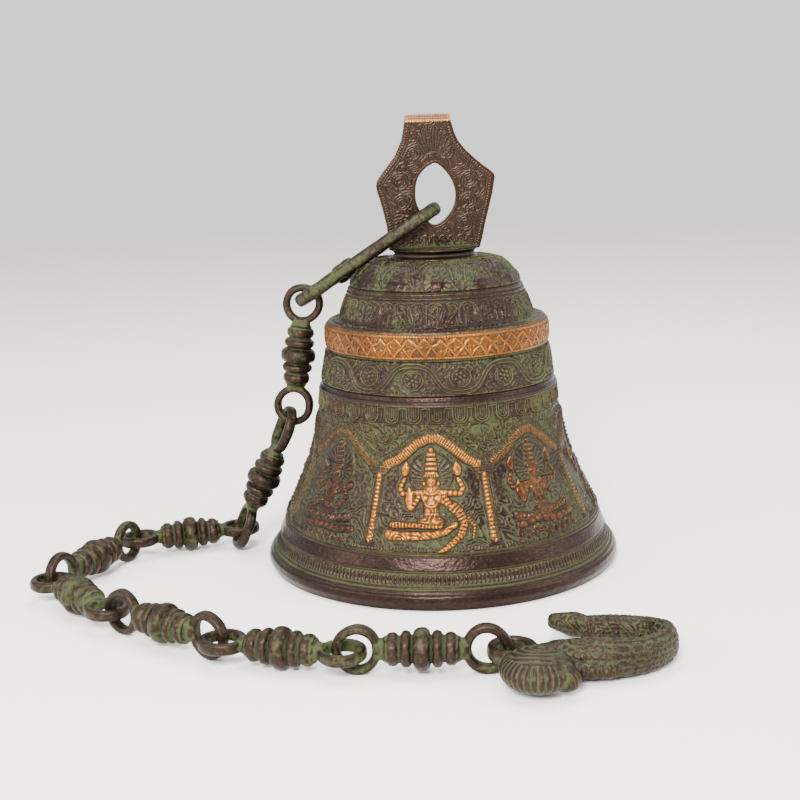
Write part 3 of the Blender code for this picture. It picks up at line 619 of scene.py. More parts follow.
# ---------------------------------------------------------------- fused castings
def sweep(path, up, width, height, closed=False, sides=20, square=2.0):
    """A tube of flattened section along a path; width lies across up, height along it."""
    path = np.array(path, float)
    count = len(path)
    width = np.broadcast_to(width, count)
    height = np.broadcast_to(height, count)
    if closed:
        ahead = np.roll(path, -1, 0) - np.roll(path, 1, 0)
    else:
        ahead = np.gradient(path, axis=0)
    ahead /= np.linalg.norm(ahead, axis=1)[:, None]
    side = np.cross(ahead, np.broadcast_to(np.array(up, float), path.shape))
    side /= np.linalg.norm(side, axis=1)[:, None]
    lift = np.cross(side, ahead)
    verts = []
    for index in range(count):
        for step in range(sides):
            a = TURN * step / sides
            c, s = math.cos(a), math.sin(a)
            c = math.copysign(abs(c) ** (2 / square), c)
            s = math.copysign(abs(s) ** (2 / square), s)
            verts.append(path[index] + side[index] * (width[index] * c) + lift[index] * (height[index] * s))
    faces = []
    for index in range(count if closed else count - 1):
        here, there = index * sides, (index + 1) % count * sides
        faces += [(here + k, here + (k + 1) % sides, there + (k + 1) % sides, there + k)
            for k in range(sides)]
    if not closed:
        faces += [tuple(reversed(range(sides))), tuple(range((count - 1) * sides, count * sides))]
    return verts, faces


def turned_solid(profile, sides=36):
    """A solid of revolution about X from (x, radius) points."""
    path = [(x, 0.0, 0.0) for x, _ in profile]
    radii = [r for _, r in profile]
    return sweep(path, (0, 0, 1), radii, radii, sides=sides)


def relaxed(co, edges, steps, amount=0.5):
    """Positions after moving each vertex towards the mean of its neighbours."""
    count = len(co)
    ends = np.concatenate([edges, edges[:, ::-1]])
    degree = np.bincount(ends[:, 0], minlength=count)[:, None]
    for _ in range(steps):
        total = np.stack([np.bincount(ends[:, 0], weights=co[ends[:, 1], k], minlength=count)
                for k in range(3)], axis=1)
        co = co + amount * (total / np.maximum(degree, 1) - co)
    return co


def read(mesh, what, width, collection="vertices"):
    items = getattr(mesh, collection)
    values = np.empty(len(items) * width, np.float32 if what in ("co", "normal") else np.int32)
    items.foreach_get(what, values)
    return values.reshape(-1, width)


def fused(name, shapes, voxel, smooth=3, spread=14, chase=None, gild=None, bare=None, cuts=()):
    """One casting from overlapping closed shapes.

    chase(points, normals) returns relief in mm to add along the normals, gild(points) the share
    of bright metal and bare(points) that of dark metal without patina, in the casting's own axes.
    """
    def plain(parts):
        mesh = bpy.data.meshes.new(name)
        verts, faces = [], []
        for v, f in parts:
            faces += [tuple(i + len(verts) for i in face) for face in f]
            verts += [tuple(p) for p in v]
        mesh.from_pydata(verts, [], faces)
        obj = bpy.data.objects.new("casting", mesh)
        bpy.context.scene.collection.objects.link(obj)
        return obj

    def remeshed(obj, size):
        modifier = obj.modifiers.new("fuse", "REMESH")
        modifier.mode = "VOXEL"
        modifier.voxel_size = size
        depsgraph = bpy.context.evaluated_depsgraph_get()
        mesh = bpy.data.meshes.new_from_object(obj.evaluated_get(depsgraph))
        old = obj.data
        bpy.data.objects.remove(obj)
        bpy.data.meshes.remove(old)
        return mesh

    mesh = remeshed(plain(shapes), voxel)
    for cutter in cuts:
        body = bpy.data.objects.new("casting", mesh)
        bpy.context.scene.collection.objects.link(body)
        tool = plain([cutter])
        cut = body.modifiers.new("cut", "BOOLEAN")
        cut.operation = "DIFFERENCE"
        cut.object = tool
        mesh = remeshed(body, voxel)
        bpy.data.objects.remove(tool)
    mesh.name = name
    edges = read(mesh, "vertices", 2, "edges")
    co = relaxed(read(mesh, "co", 3).astype(float), edges, smooth)
    mesh.vertices.foreach_set("co", co.astype(np.float32).ravel())
    mesh.update()
    normals = read(mesh, "normal", 3).astype(float)
    relief = chase(co, normals) if chase else np.zeros(len(co))
    co = co + normals * relief[:, None] * MM
    mesh.vertices.foreach_set("co", co.astype(np.float32).ravel())
    mesh.update()
    soft = relaxed(co, edges, spread)
    softer = relaxed(soft, edges, spread * 2)
    wear = (((co - soft) + 0.4 * (soft - softer)) * normals).sum(1) / MM
    add_attribute(mesh, "wear", np.clip(wear * 3.2, -1, 1))
    add_attribute(mesh, "gild", np.clip(gild(co), 0, 1) if gild else np.zeros(len(co)))
    add_attribute(mesh, "bare", np.clip(bare(co), 0, 1) if bare else np.zeros(len(co)))
    return mesh


def moved(shape, matrix):
    verts, faces = shape
    return [matrix @ Vector(v) for v in verts], faces


def placed(name, mesh, matrix, material, body, replaced):
    """The casting at its place, its mesh in row-frame coordinates."""
    mesh.transform(matrix)
    return new_object(name, mesh, material, body, replaced)


def lumps(points, seed, scale=55.0, amount=0.10):
    """Slow unevenness of hand-filed metal, in mm."""
    phase = grains((6, 4), seed) * TURN
    total = np.zeros(len(points))
    for k in range(6):
        wave = points @ (np.cos(phase[k, :3]) * scale * (2 + k) * 1.7) + phase[k, 3]
        total += np.sin(wave) / (1 + 0.35 * k)
    return total * amount / 2


# ---------------------------------------------------------------- chain links
EYE = 0.0115                   # radius of a chain eye, to the middle of its band
BAND_HALF = 0.0025
EYE_HALF_DEPTH = 0.0035
EYE_REACH = EYE + BAND_HALF
BEADS_ON_LINK = [(0.0, 0.0120, 0.0050), (0.0086, 0.0103, 0.0029), (0.0160, 0.0092, 0.0030)]
CORE = 0.0074
LINK_HALF_SPACING = 0.03575    # from a link's middle to the middle of a round eye
BALUSTER_REACH = 0.0205
FIRST_YAW_LINK = 3


def principal_axes(node):
    """Middle, axes and half lengths of a CAD node that is symmetrical about them."""
    co = np.array([v.co for v in frame["nodes"][node].data.vertices], float)
    spread = co - co.mean(0)
    _, axes = np.linalg.eigh(spread.T @ spread)
    axes = axes[:, ::-1].T
    along = co @ axes.T
    low, high = along.min(0), along.max(0)
    return (low + high) / 2 @ axes, axes, (high - low) / 2


def baluster_radius(x):
    radius = CORE
    for at, size, half in BEADS_ON_LINK:
        t = abs(abs(x) - at) / half
        if t < 1:
            radius = max(radius, CORE + (size - CORE) * (1 - t ** 2.6) ** 0.55)
    return radius


def link_eye(centre, outward, leg, seed):
    """The closed band of one eye; a long eye has straight legs towards the baluster."""
    jitter = grains(8, seed)
    points = []
    steps = 40
    for side in (1, -1):
        for step in range(steps // 2 + 1):
            a = math.pi * (step / (steps // 2) - side / 2)
            wobble = 1 + 0.022 * math.sin(2 * a + jitter[0] * 6) + 0.015 * math.sin(3 * a + jitter[1] * 6)
            x = side * leg / 2 + EYE * wobble * math.cos(a)
            points.append((centre + outward * leg / 2 + x, EYE * wobble * math.sin(a), 0.0))
    if leg == 0.0:
        points = points[:steps // 2] + points[steps // 2 + 1:-1]
    return sweep(points, (0, 0, 1), BAND_HALF * (1.02 + 0.1 * jitter[2]), EYE_HALF_DEPTH, True, 18, 2.9)


def link_shapes(half_spacing, leg, seed):
    count = 90
    reach = BALUSTER_REACH
    spine = [(-reach + 2 * reach * k / count, baluster_radius(-reach + 2 * reach * k / count))
        for k in range(count + 1)]
    shapes = [turned_solid(spine)]
    for outward in (-1, 1):
        centre = outward * half_spacing
        shapes.append(link_eye(centre, outward, leg, seed + outward))
        inner = half_spacing - EYE
        path = [(outward * x, 0, 0) for x in (0.0170, 0.0195, 0.0220, inner + 0.0012)]
        shapes.append(sweep(path, (0, 0, 1), [0.0078, 0.0074, 0.0064, 0.0050],
                [0.0070, 0.0056, 0.0047, 0.0040], square=2.4))
    return shapes


def chain_link(number, material, following):
    name = "chain_link_%d" % number
    middle, axes, half = principal_axes(name)
    joint = JOINTS["link_%d_%s" % (number, "swing" if number < FIRST_YAW_LINK else "yaw")]
    onward = np.array(JOINTS[following]["pos_m"]) - np.array(joint["pos_m"])
    x_axis = axes[0] * (1 if axes[0] @ onward > 0 else -1)
    y_axis = axes[1]
    z_axis = np.cross(x_axis, y_axis)
    leg = 0.0 if half[0] < 0.0500 else half[0] - LINK_HALF_SPACING - EYE_REACH
    matrix = Matrix(np.column_stack([x_axis, y_axis, z_axis]).tolist()).to_4x4()
    matrix.translation = Vector(middle)

    def chase(points, normals):
        out = lumps(points, number * 11, amount=0.16)
        ribs = np.abs(points[:, 0]) < BALUSTER_REACH
        around = np.arctan2(points[:, 2], points[:, 1])
        return out + 0.10 * np.sin(around * 9 + points[:, 0] * 300 + number) * ribs

    mesh = fused(name + "_cast", link_shapes(LINK_HALF_SPACING, leg, number * 7), 0.00048, chase=chase)
    body = "link_%d" % number
    return placed(name + "_cast", mesh, matrix, material, body, (name,))


# ---------------------------------------------------------------- stirrup
STIRRUP_HALF_WIDTH = 0.0145
STIRRUP_WIRE = 0.0044
COLLAR_AT = 0.0770


def stirrup(material):
    pivot = Vector(JOINTS["stirrup_swing"]["pos_m"])
    reach = Vector(JOINTS["link_1_swing"]["pos_m"]) - pivot
    x_axis = reach.normalized()
    across = Vector((reach.y, -reach.x, 0.0)).normalized()
    z_axis = x_axis.cross(across).normalized()
    y_axis = z_axis.cross(x_axis)
    matrix = Matrix((x_axis, y_axis, z_axis)).transposed().to_4x4()
    matrix.translation = pivot
    straight = reach.length - 2 * STIRRUP_HALF_WIDTH
    points = []
    for side in (1, -1):
        for step in range(19):
            a = math.pi * (step / 18 - side / 2)
            pinch = 1.0 + (0.06 * math.cos(a) ** 4 if side > 0 else 0.0)
            points.append((reach.length / 2 + side * straight / 2 + STIRRUP_HALF_WIDTH * math.cos(a) * pinch,
                    STIRRUP_HALF_WIDTH * math.sin(a), 0.0))
        far = side * STIRRUP_HALF_WIDTH
        for step in range(1, 12):
            share = step / 12
            points.append((reach.length / 2 + side * straight * (0.5 - share), far, 0.0))
    widths = [STIRRUP_WIRE * (0.94 + 0.05 * math.sin(k * 0.9)) for k in range(len(points))]
    bar = sweep(points, (0, 0, 1), widths, STIRRUP_WIRE, True, 20, 2.7)
    collar = turned_solid([(-0.0080, 0.0052), (-0.0070, 0.0062), (-0.0035, 0.0068), (0.0, 0.0064),
            (0.0035, 0.0068), (0.0070, 0.0062), (0.0080, 0.0052)], 24)
    collar = moved(collar, Matrix.Translation((COLLAR_AT, STIRRUP_HALF_WIDTH, 0)))
    mesh = fused("stirrup_cast", [bar, collar], 0.00048, 4,
        chase=lambda p, n: lumps(p, 5, 45.0, 0.22))
    placed("stirrup_cast", mesh, matrix, material, "stirrup", ("stirrup_link",))


# ---------------------------------------------------------------- hook
HOOK_HEADING = math.radians(-5.0)
HOOK_EYE_FROM_HINGE = 0.0020
HOOK_EYE_Z = 0.0122
# Centre line from above in the hook's own axes, with half width, half height and middle height, mm.
HOOK_BODY = [
    (10.5, 0.0, 4.6, 4.2, 11.6), (16.0, -1.6, 6.4, 6.6, 10.2), (22.0, -3.0, 8.2, 8.6, 9.6),
    (38.0, -5.0, 9.9, 9.6, 10.6), (56.0, -5.0, 9.6, 9.4, 10.4), (70.0, 0.0, 8.0, 9.0, 9.8),
    (81.0, 10.0, 6.6, 8.8, 9.6), (85.6, 22.5, 5.6, 8.6, 9.4), (82.0, 35.0, 5.4, 7.6, 8.4),
    (71.0, 43.0, 5.8, 6.9, 7.7), (56.0, 46.5, 6.2, 6.5, 7.3), (45.0, 47.2, 6.2, 6.2, 7.0),
    (38.0, 48.2, 5.2, 5.6, 7.2)]
HOOK_HEAD = [
    (40.0, 47.9, 5.6, 5.9, 7.4), (35.5, 48.8, 6.5, 6.8, 8.2), (30.5, 49.8, 6.1, 6.0, 8.8),
    (26.5, 50.6, 5.4, 5.0, 9.2), (22.6, 51.4, 4.4, 3.9, 9.6), (20.8, 51.7, 2.6, 2.3, 9.8)]


def eased_between(a, b, c, d, steps):
    """Points from b towards c on a smooth line through all four."""
    shares = [step / steps for step in range(steps)]
    return [0.5 * (2 * b + (c - a) * t + (2 * a - 5 * b + 4 * c - d) * t * t
            + (3 * b - a - 3 * c + d) * t ** 3) for t in shares]


def smooth_rows(rows, steps):
    """An open smooth line through the rows."""
    rows = [rows[0]] + list(rows) + [rows[-1]]
    out = []
    for k in range(1, len(rows) - 2):
        out += eased_between(*[np.array(rows[k + o]) for o in (-1, 0, 1, 2)], steps)
    out.append(np.array(rows[-1]))
    return np.array(out)


def limb(rows, steps=8, square=2.3):
    fine = smooth_rows(rows, steps) * MM
    path = np.stack([fine[:, 0], fine[:, 1], fine[:, 4]], axis=1)
    return sweep(path, (0, 0, 1), fine[:, 2], fine[:, 3], square=square, sides=24)


def ball(centre, size, steps=24):
    profile = [(-math.cos(math.pi * k / steps), max(math.sin(math.pi * k / steps), 0.01))
        for k in range(steps + 1)]
    return moved(turned_solid(profile), Matrix.Translation([c * MM for c in centre])
        @ Matrix.Diagonal((*[s * MM for s in size], 1.0)))


def spike(start, stop, half):
    start, stop = np.array(start), np.array(stop)
    path = np.array([start + (stop - start) * t for t in (0, 0.5, 0.85, 1)]) * MM
    radii = np.array([half, half * 0.8, half * 0.45, half * 0.15]) * MM
    return sweep(path, (0.01, 0.02, 1), radii, radii, sides=10)


FAN = (13.0, -23.0, 11.0)
FAN_SIZE = (20.0, 21.0, 10.8)
BOSS = (27.5, -30.5, 9.5)


def hook_chasing(points, normals):
    p = points / MM
    x, y, z = p[:, 0], p[:, 1], p[:, 2]
    rows = smooth_rows(HOOK_BODY, 6)
    run = np.concatenate([[0], np.cumsum(np.hypot(np.diff(rows[:, 0]), np.diff(rows[:, 1])))])
    squared = (x[:, None] - rows[None, :, 0]) ** 2 + (y[:, None] - rows[None, :, 1]) ** 2
    nearest = squared.argmin(1)
    gap = np.sqrt(squared.min(1))
    along = run[nearest]
    ahead = np.gradient(rows[:, :2], axis=0)
    ahead /= np.linalg.norm(ahead, axis=1)[:, None]
    side = (x - rows[nearest, 0]) * -ahead[nearest, 1] + (y - rows[nearest, 1]) * ahead[nearest, 0]
    around = np.arctan2(z - rows[nearest, 4], side)
    from_fan = np.hypot((x - FAN[0]) / FAN_SIZE[0], (y - FAN[1]) / FAN_SIZE[1])
    on_fan = ease(1.12, 0.98, from_fan) * ease(-5.0, -9.0, y)
    on_boss = ease(1.5, 0.9, np.hypot(x - BOSS[0], y - BOSS[1]) / 7.0)
    on_eye = ease(15.2, 14.0, np.hypot(x, y))
    body = (1 - on_fan) * (1 - on_eye) * ease(12.5, 10.5, gap)
    spin = np.arctan2(y - FAN[1], x - FAN[0])
    ribs = 0.75 * (np.abs(np.cos(spin * 17)) ** 0.7 - 0.5) * ease(0.62, 0.80, from_fan)
    whorl = np.hypot((x - FAN[0] - 2) / 1.25, y - FAN[1] - 5)
    rings = 0.55 * np.cos(whorl * 1.75 + spin) * ease(0.74, 0.6, from_fan)
    relief = on_fan * (1 - on_boss) * (ribs + rings)
    row = np.floor(around / 0.42)
    u = np.mod(along / 3.8 + 0.5 * np.mod(row, 2), 1.0) - 0.5
    v = np.mod(around / 0.42, 1.0) - 0.5
    scales = 0.55 * ease(0.62, 0.2, np.hypot(u, v)) * ease(22, 30, along) * ease(118, 108, along)
    ridge = 0.8 * round_bar(np.abs(side + 2.2), 0.9) * ease(0.2, 0.6, normals[:, 2]) * ease(30, 38, along)
    beads = 0.9 * round_bar(side - 3.9, 1.5) * (0.5 + 0.5 * np.cos(TURN * along / 2.5))
    beads = beads * ease(92, 98, along) * ease(0.0, 0.4, normals[:, 2])
    relief = relief + body * (scales + ridge * 0.6 + beads)
    scroll = (line(x, y, arc(37, -5, 6.5, 5.0, -200, 60), 0.9)
        + line(x, y, arc(50, -3.5, 5.0, 4.0, -160, 120), 0.8))
    relief = relief + 0.6 * np.clip(scroll, 0, 1) * body * ease(0.3, 0.7, normals[:, 2])
    head = ease(41, 37, x) * ease(40, 44, y)
    mouth = round_bar(z - (6.6 + 0.16 * (36 - x)), 0.55) * ease(37, 34, x)
    mouth = mouth * ease(0.5, 0.2, np.abs(normals[:, 2]))
    brow = line(x, y, [(39.5, 46.2), (33.0, 47.2), (27.5, 49.0)], 0.8) * ease(0.2, 0.6, normals[:, 2])
    relief = relief * (1 - head) + head * (-0.75 * mouth + 0.6 * brow)
    wrinkles = 0.42 * whorls(x * 1.4, (y + 0.6 * z) * 1.4, 0.4, 3.4) * (1 - on_eye) * (1 - on_fan)
    return np.clip(relief + wrinkles, -0.9, 1.1) + lumps(points, 8, 50.0, 0.16)


def hook(material):
    hinge = Vector(JOINTS["hook_yaw"]["pos_m"])
    forward = Vector((math.cos(HOOK_HEADING), math.sin(HOOK_HEADING), 0.0))
    eye = [(EYE * math.cos(TURN * k / 44), EYE * math.sin(TURN * k / 44), HOOK_EYE_Z) for k in range(44)]
    shapes = [sweep(eye, (0, 0, 1), 0.0026, 0.0042, True, 18, 2.9), limb(HOOK_BODY), limb(HOOK_HEAD),
        ball(FAN, FAN_SIZE), ball(BOSS, (8.0, 6.6, 7.6)), ball((36.4, 47.2, 12.0), (2.6, 2.2, 2.3)),
        ball((33.5, 45.3, 9.2), (1.5, 1.2, 1.5)), ball((84.2, 14.5, 16.6), (3.2, 4.2, 2.6)),
        limb([(30, -14, 4.4, 5.0, 8.0), (40, -13, 4.0, 4.6, 7.0), (52, -12.5, 3.0, 4.2, 6.6),
            (60, -10.0, 1.6, 2.4, 6.0)])]
    crest = [(33, -17.0), (37.5, -17.2), (42, -16.6), (46.5, -16.0), (51, -15.2), (55, -13.6)]
    for k, (px, py) in enumerate(crest):
        shapes.append(ball((px, py, 6.4 + 0.4 * (k % 2)), (2.7, 2.2, 3.4)))
    rows = smooth_rows(HOOK_BODY, 6)
    for k in range(48, len(rows) - 3, 2):
        x, y, wide, _, middle = rows[k]
        heading = rows[k + 1][:2] - rows[k - 1][:2]
        heading = heading / np.linalg.norm(heading)
        inward = np.array([-heading[1], heading[0]])
        root = np.array([x, y]) + inward * (wide - 1.4)
        tip = root + inward * 2.6 + heading * 1.2
        shapes.append(spike((*root, middle + 0.5), (*tip, middle - 1.8), 1.15))
    matrix = Matrix.Rotation(HOOK_HEADING, 4, "Z")
    place = hinge + forward * HOOK_EYE_FROM_HINGE
    matrix.translation = (place.x, place.y, 0.0004)
    mesh = fused("serpent_hook_cast", shapes, 0.00050, 3, chase=hook_chasing)
    placed("serpent_hook_cast", mesh, matrix, material, "hook", ("chain_hook",))


# ---------------------------------------------------------------- clapper
def upright(shape, height=0.0):
    return moved(shape, Matrix.Translation((0, 0, height)) @ Matrix.Rotation(-math.pi / 2, 4, "Y"))


def ring_of(radius, wire, height, flat_to):
    points = []
    for k in range(48):
        a = TURN * k / 48
        c, s = radius * math.cos(a), radius * math.sin(a)
        points.append((c, 0.0, height + s) if flat_to == "Y" else (0.0, c, height + s))
    return sweep(points, (0, 1, 0) if flat_to == "Y" else (1, 0, 0), wire, wire, True, 16)


def clapper(iron, bronze):
    place = Matrix.Translation((AXIS_X, AXIS_Y, 0))
    staple_z = JOINTS["clapper_swing"]["pos_m"][2]
    pivot_z = JOINTS["clapper_cross_swing"]["pos_m"][2]
    low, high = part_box("clapper_bob")
    bob_z = (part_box("bob_pin")[0].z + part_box("bob_pin")[1].z) / 2
    washer_low, washer_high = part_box("clapper_washer")
    nut_low, nut_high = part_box("clapper_nut")

    def put(name, shapes, body, node, material, voxel=0.0004, **more):
        chase = more.pop("chase", lambda p, n: lumps(p, len(name), 60.0, 0.14))
        mesh = fused(name, shapes, voxel, chase=chase, **more)
        placed(name, mesh, place, material, body, (node,))

    shank = upright(turned_solid([(staple_z + 0.0074, 0.0040), (0.2132, 0.0040)]))
    put("clapper_staple_forged", [ring_of(0.0080, 0.0025, staple_z, "Y"), shank], "bell",
        "clapper_staple", iron)
    bore = upright(turned_solid([(0.18, 0.00432), (0.215, 0.00432)]))
    disc = upright(turned_solid([(washer_low.z, 0.0113), (washer_high.z, 0.0113)], 60))
    put("clapper_washer_cut", [disc], "bell", "clapper_washer", iron, 0.0003, smooth=1, cuts=[bore])
    hexagon = upright(turned_solid([(nut_low.z, 0.0086), (nut_low.z + 0.0006, 0.0090),
            (nut_high.z - 0.0006, 0.0090), (nut_high.z, 0.0086)], 6))
    put("clapper_nut_cut", [hexagon], "bell", "clapper_nut", iron, 0.0003, smooth=1, cuts=[bore])
    put("clapper_ring_forged", [ring_of(0.0140, 0.0024, staple_z - 0.0140, "X")], "clapper_ring_body",
        "clapper_ring", iron)
    rod_low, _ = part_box("clapper_rod")
    rod = upright(turned_solid([(rod_low.z + 0.0003, 0.0026), (rod_low.z + 0.0018, 0.0040), (0.09, 0.0039),
            (pivot_z - 0.0190, 0.0040), (pivot_z - 0.0155, 0.0030)]))
    put("clapper_rod_forged", [ring_of(0.0080, 0.0025, pivot_z - 0.0080, "Y"), rod], "clapper",
        "clapper_rod", iron)
    profile = [(high.z, 0.0052), (high.z - 0.0012, 0.0072)]
    profile += [(bob_z + 0.0163 * math.sin(math.radians(a)), 0.0168 * math.cos(math.radians(a)))
        for a in range(64, -65, -6)]
    profile += [(low.z + 0.0040, 0.0066), (low.z + 0.0008, 0.0062), (low.z + 0.0002, 0.0056)]
    rod_bore = upright(turned_solid([(low.z - 0.01, 0.0043), (high.z + 0.01, 0.0043)]))
    at_bob = Matrix.Translation((0, 0, bob_z))
    pin_bore = moved(turned_solid([(-0.03, 0.00192), (0.03, 0.00192)], 16), at_bob)
    first = len(rod_bore[0])
    both = (rod_bore[0] + pin_bore[0],
        rod_bore[1] + [tuple(i + first for i in face) for face in pin_bore[1]])
    put("clapper_bob_cast", [upright(turned_solid(profile, 60))], "clapper", "clapper_bob", bronze,
        0.00045, cuts=[both])
    pin = turned_solid([(-0.0163, 0.0011), (-0.0160, 0.0016), (0.0160, 0.0016), (0.0163, 0.0011)], 20)
    put("bob_pin_cut", [moved(pin, at_bob)], "clapper", "bob_pin", iron,
        0.00025, smooth=1)


# ---------------------------------------------------------------- lug
LUG_HALF = 0.0062
LUG_TOP = 0.3008
LUG_TOP_FALL = 0.0042
LUG_RIGHT = [
    (30.4, 212.2), (32.4, 219.0), (34.4, 228.0), (37.0, 238.0), (39.4, 247.5), (41.2, 258.6),
    (40.9, 260.4), (38.3, 263.0), (33.0, 267.0), (27.5, 271.8), (22.0, 277.2), (17.9, 282.6),
    (15.3, 288.0), (13.9, 293.0), (12.8, 300.8)]
LUG_LEFT = [
    (-16.7, 300.8), (-17.3, 294.0), (-19.3, 284.0), (-24.3, 273.7), (-32.3, 264.0), (-36.4, 258.2),
    (-37.2, 255.0), (-36.6, 251.0), (-35.2, 246.5), (-33.2, 238.0), (-31.0, 228.0), (-30.2, 219.0),
    (-30.1, 212.2)]
LUG_HOLE = [
    (2.8, 268.6), (-1.0, 267.6), (-4.5, 265.4), (-9.1, 259.9), (-11.2, 252.5), (-11.1, 244.0),
    (-8.0, 236.2), (-3.0, 229.9), (1.0, 227.9), (6.0, 229.8), (10.9, 234.8), (14.3, 241.2),
    (15.2, 249.0), (13.0, 257.0), (8.4, 263.8)]


def rounded(points, steps):
    """A closed smooth line through the points."""
    pts = np.array(points)
    out = []
    for k in range(len(pts)):
        out += eased_between(*[pts[(k + o) % len(pts)] for o in (-1, 0, 1, 2)], steps)
    return np.array(out)


def top_height(y):
    """The lug's gilt top slopes down to the front."""
    return LUG_TOP - LUG_TOP_FALL * (0.5 - y / (2 * LUG_HALF))


def lug_plate():
    curve = bpy.data.curves.new("lug", "CURVE")
    curve.dimensions = "2D"
    curve.fill_mode = "BOTH"
    curve.extrude = LUG_HALF
    for outline in (np.array(LUG_RIGHT + LUG_LEFT), rounded(LUG_HOLE, 5)):
        spline = curve.splines.new("POLY")
        spline.points.add(len(outline) - 1)
        for point, (x, z) in zip(spline.points, outline):
            point.co = (x * MM, z * MM, 0.0, 1.0)
        spline.use_cyclic_u = True
    obj = bpy.data.objects.new("plate", curve)
    bpy.context.scene.collection.objects.link(obj)
    depsgraph = bpy.context.evaluated_depsgraph_get()
    mesh = bpy.data.meshes.new_from_object(obj.evaluated_get(depsgraph))
    mesh.transform(Matrix.Rotation(math.pi / 2, 4, "X"))
    shape = bmesh.new()
    shape.from_mesh(mesh)
    bmesh.ops.remove_doubles(shape, verts=shape.verts, dist=0.00001)
    bmesh.ops.recalc_face_normals(shape, faces=shape.faces)
    for v in shape.verts:
        if v.co.z > LUG_TOP - 0.0005:
            v.co.z = top_height(v.co.y)
    verts = [tuple(v.co) for v in shape.verts]
    faces = [tuple(v.index for v in f.verts) for f in shape.faces]
    shape.free()
    bpy.data.objects.remove(obj)
    return verts, faces


def lug_chasing(points, normals):
    """Engraved fan and scrolls on the two faces, rope borders and the dotted top."""
    x, y, z = points[:, 0] / MM, points[:, 1] / MM, points[:, 2] / MM
    outline = [tuple(p) for p in LUG_RIGHT + LUG_LEFT]
    edge, along = near(x, z, outline)
    hole, _ = near(x, z, [tuple(p) for p in rounded(LUG_HOLE, 3)] + [LUG_HOLE[0]])
    face = ease(0.75, 0.95, np.abs(normals[:, 1]))
    plate = ease(213.5, 215.0, z)
    cut = np.zeros(len(points))
    for turn in range(13):
        a = math.radians(26 + 128 * turn / 12)
        far = 19.0 + 3.0 * (turn % 2)
        start = (1.0 + 6.0 * math.cos(a), 271.0 + 5.0 * math.sin(a))
        stop = (1.0 + far * 0.62 * math.cos(a), 271.0 + far * math.sin(a))
        cut = np.maximum(cut, line(x, z, [start, stop], 0.6))
    scrolls = np.zeros(len(points))
    for s in (-1, 1):
        for cx, cz, r in ((s * 23 + 1.5, 257.5, 5.6), (s * 22 + 1.5, 243.5, 5.2), (s * 20 + 1, 229.0, 5.0),
            (s * 11 - 1, 275.5, 4.2)):
            for k in range(3):
                ring = line(x, z, arc(cx, cz, r - 1.7 * k, r - 1.7 * k, 40 * k - 120, 40 * k + 170), 0.5)
                scrolls = np.maximum(scrolls, ring)
        for k in range(5):
            leaf = line(x, z, arc(s * 23.5 + 1.2, 236.0 - 2.3 * k, 3.2, 1.6, 20, 160), 0.5)
            scrolls = np.maximum(scrolls, 0.8 * leaf)
    low_leaves = np.maximum.reduce([line(x, z, arc(px, 216.5, 2.6, 4.6, 10, 170), 0.55)
            for px in (-24, -18, -12, -6, 0, 6, 12, 18, 24)])
    rope_line = round_bar(edge - 2.3, 0.75) * (0.55 + 0.45 * np.cos(TURN * along / 1.7))
    inner_line = round_bar(edge - 4.0, 0.5)
    rim = round_bar(hole - 1.3, 0.7)
    relief = face * plate * (0.42 * rope_line + 0.22 * inner_line + 0.28 * rim)
    relief = relief + face * plate * (-0.30 * cut + 0.42 * scrolls * ease(4.4, 5.2, edge)
        + 0.36 * low_leaves)
    fine = whorls(x + 40, z * 1.05, 1.1, 5.2) * ease(4.6, 5.4, edge) * ease(1.8, 2.6, hole)
    relief = relief + face * plate * 0.28 * fine * (1 - np.clip(scrolls + cut, 0, 1))
    side = ease(0.6, 0.9, np.abs(normals[:, 0])) * plate * ease(2.2, 1.2, edge)
    relief = relief + side * 0.3 * round_bar(np.abs(y) - 4.4, 0.8) * (0.5 + 0.5 * np.cos(TURN * z / 1.7))
    top = ease(0.6, 0.9, normals[:, 2]) * ease(-1.2, -0.6, z - top_height(points[:, 1]) / MM)
    dots = round_bar(np.abs(y) - 2.3, 1.1) * (0.5 + 0.5 * np.cos(TURN * x / 1.75))
    relief = relief - top * 0.45 * dots
    return relief + lumps(points, 3, 40.0, 0.12)


def lug_bare_and_cove_shade(points):
    x, z = points[:, 0] / MM, points[:, 2] / MM
    # Bare dark metal over the plate from just above its foot, and painted shade: the foot's cove below the
    # plate is made bare and dark.
    return 0.75 * np.maximum(ease(214.5, 221.0, z + 2.0 * np.sin(x * 0.3)), ease(212.4, 211.4, z))


def lug(material):
    bottom = 0.2062
    foot = turned_solid([(bottom, 0.0294), (bottom + 0.0010, 0.0292), (bottom + 0.0022, 0.0274),
            (0.2098, 0.0264), (0.2112, 0.0276), (0.2124, 0.0294), (0.2134, 0.0286)], 96)
    foot = moved(foot, Matrix.Rotation(-math.pi / 2, 4, "Y"))
    mesh = fused("crown_lug_cast", [lug_plate(), foot], 0.00042, 3, 12, chase=lug_chasing,
        gild=lambda p: ease(-0.0011, -0.0004, p[:, 2] - top_height(p[:, 1])), bare=lug_bare_and_cove_shade)
    placed("crown_lug_cast", mesh, Matrix.Translation((AXIS_X, AXIS_Y, 0)), material, "bell",
        ("crown_lug",))


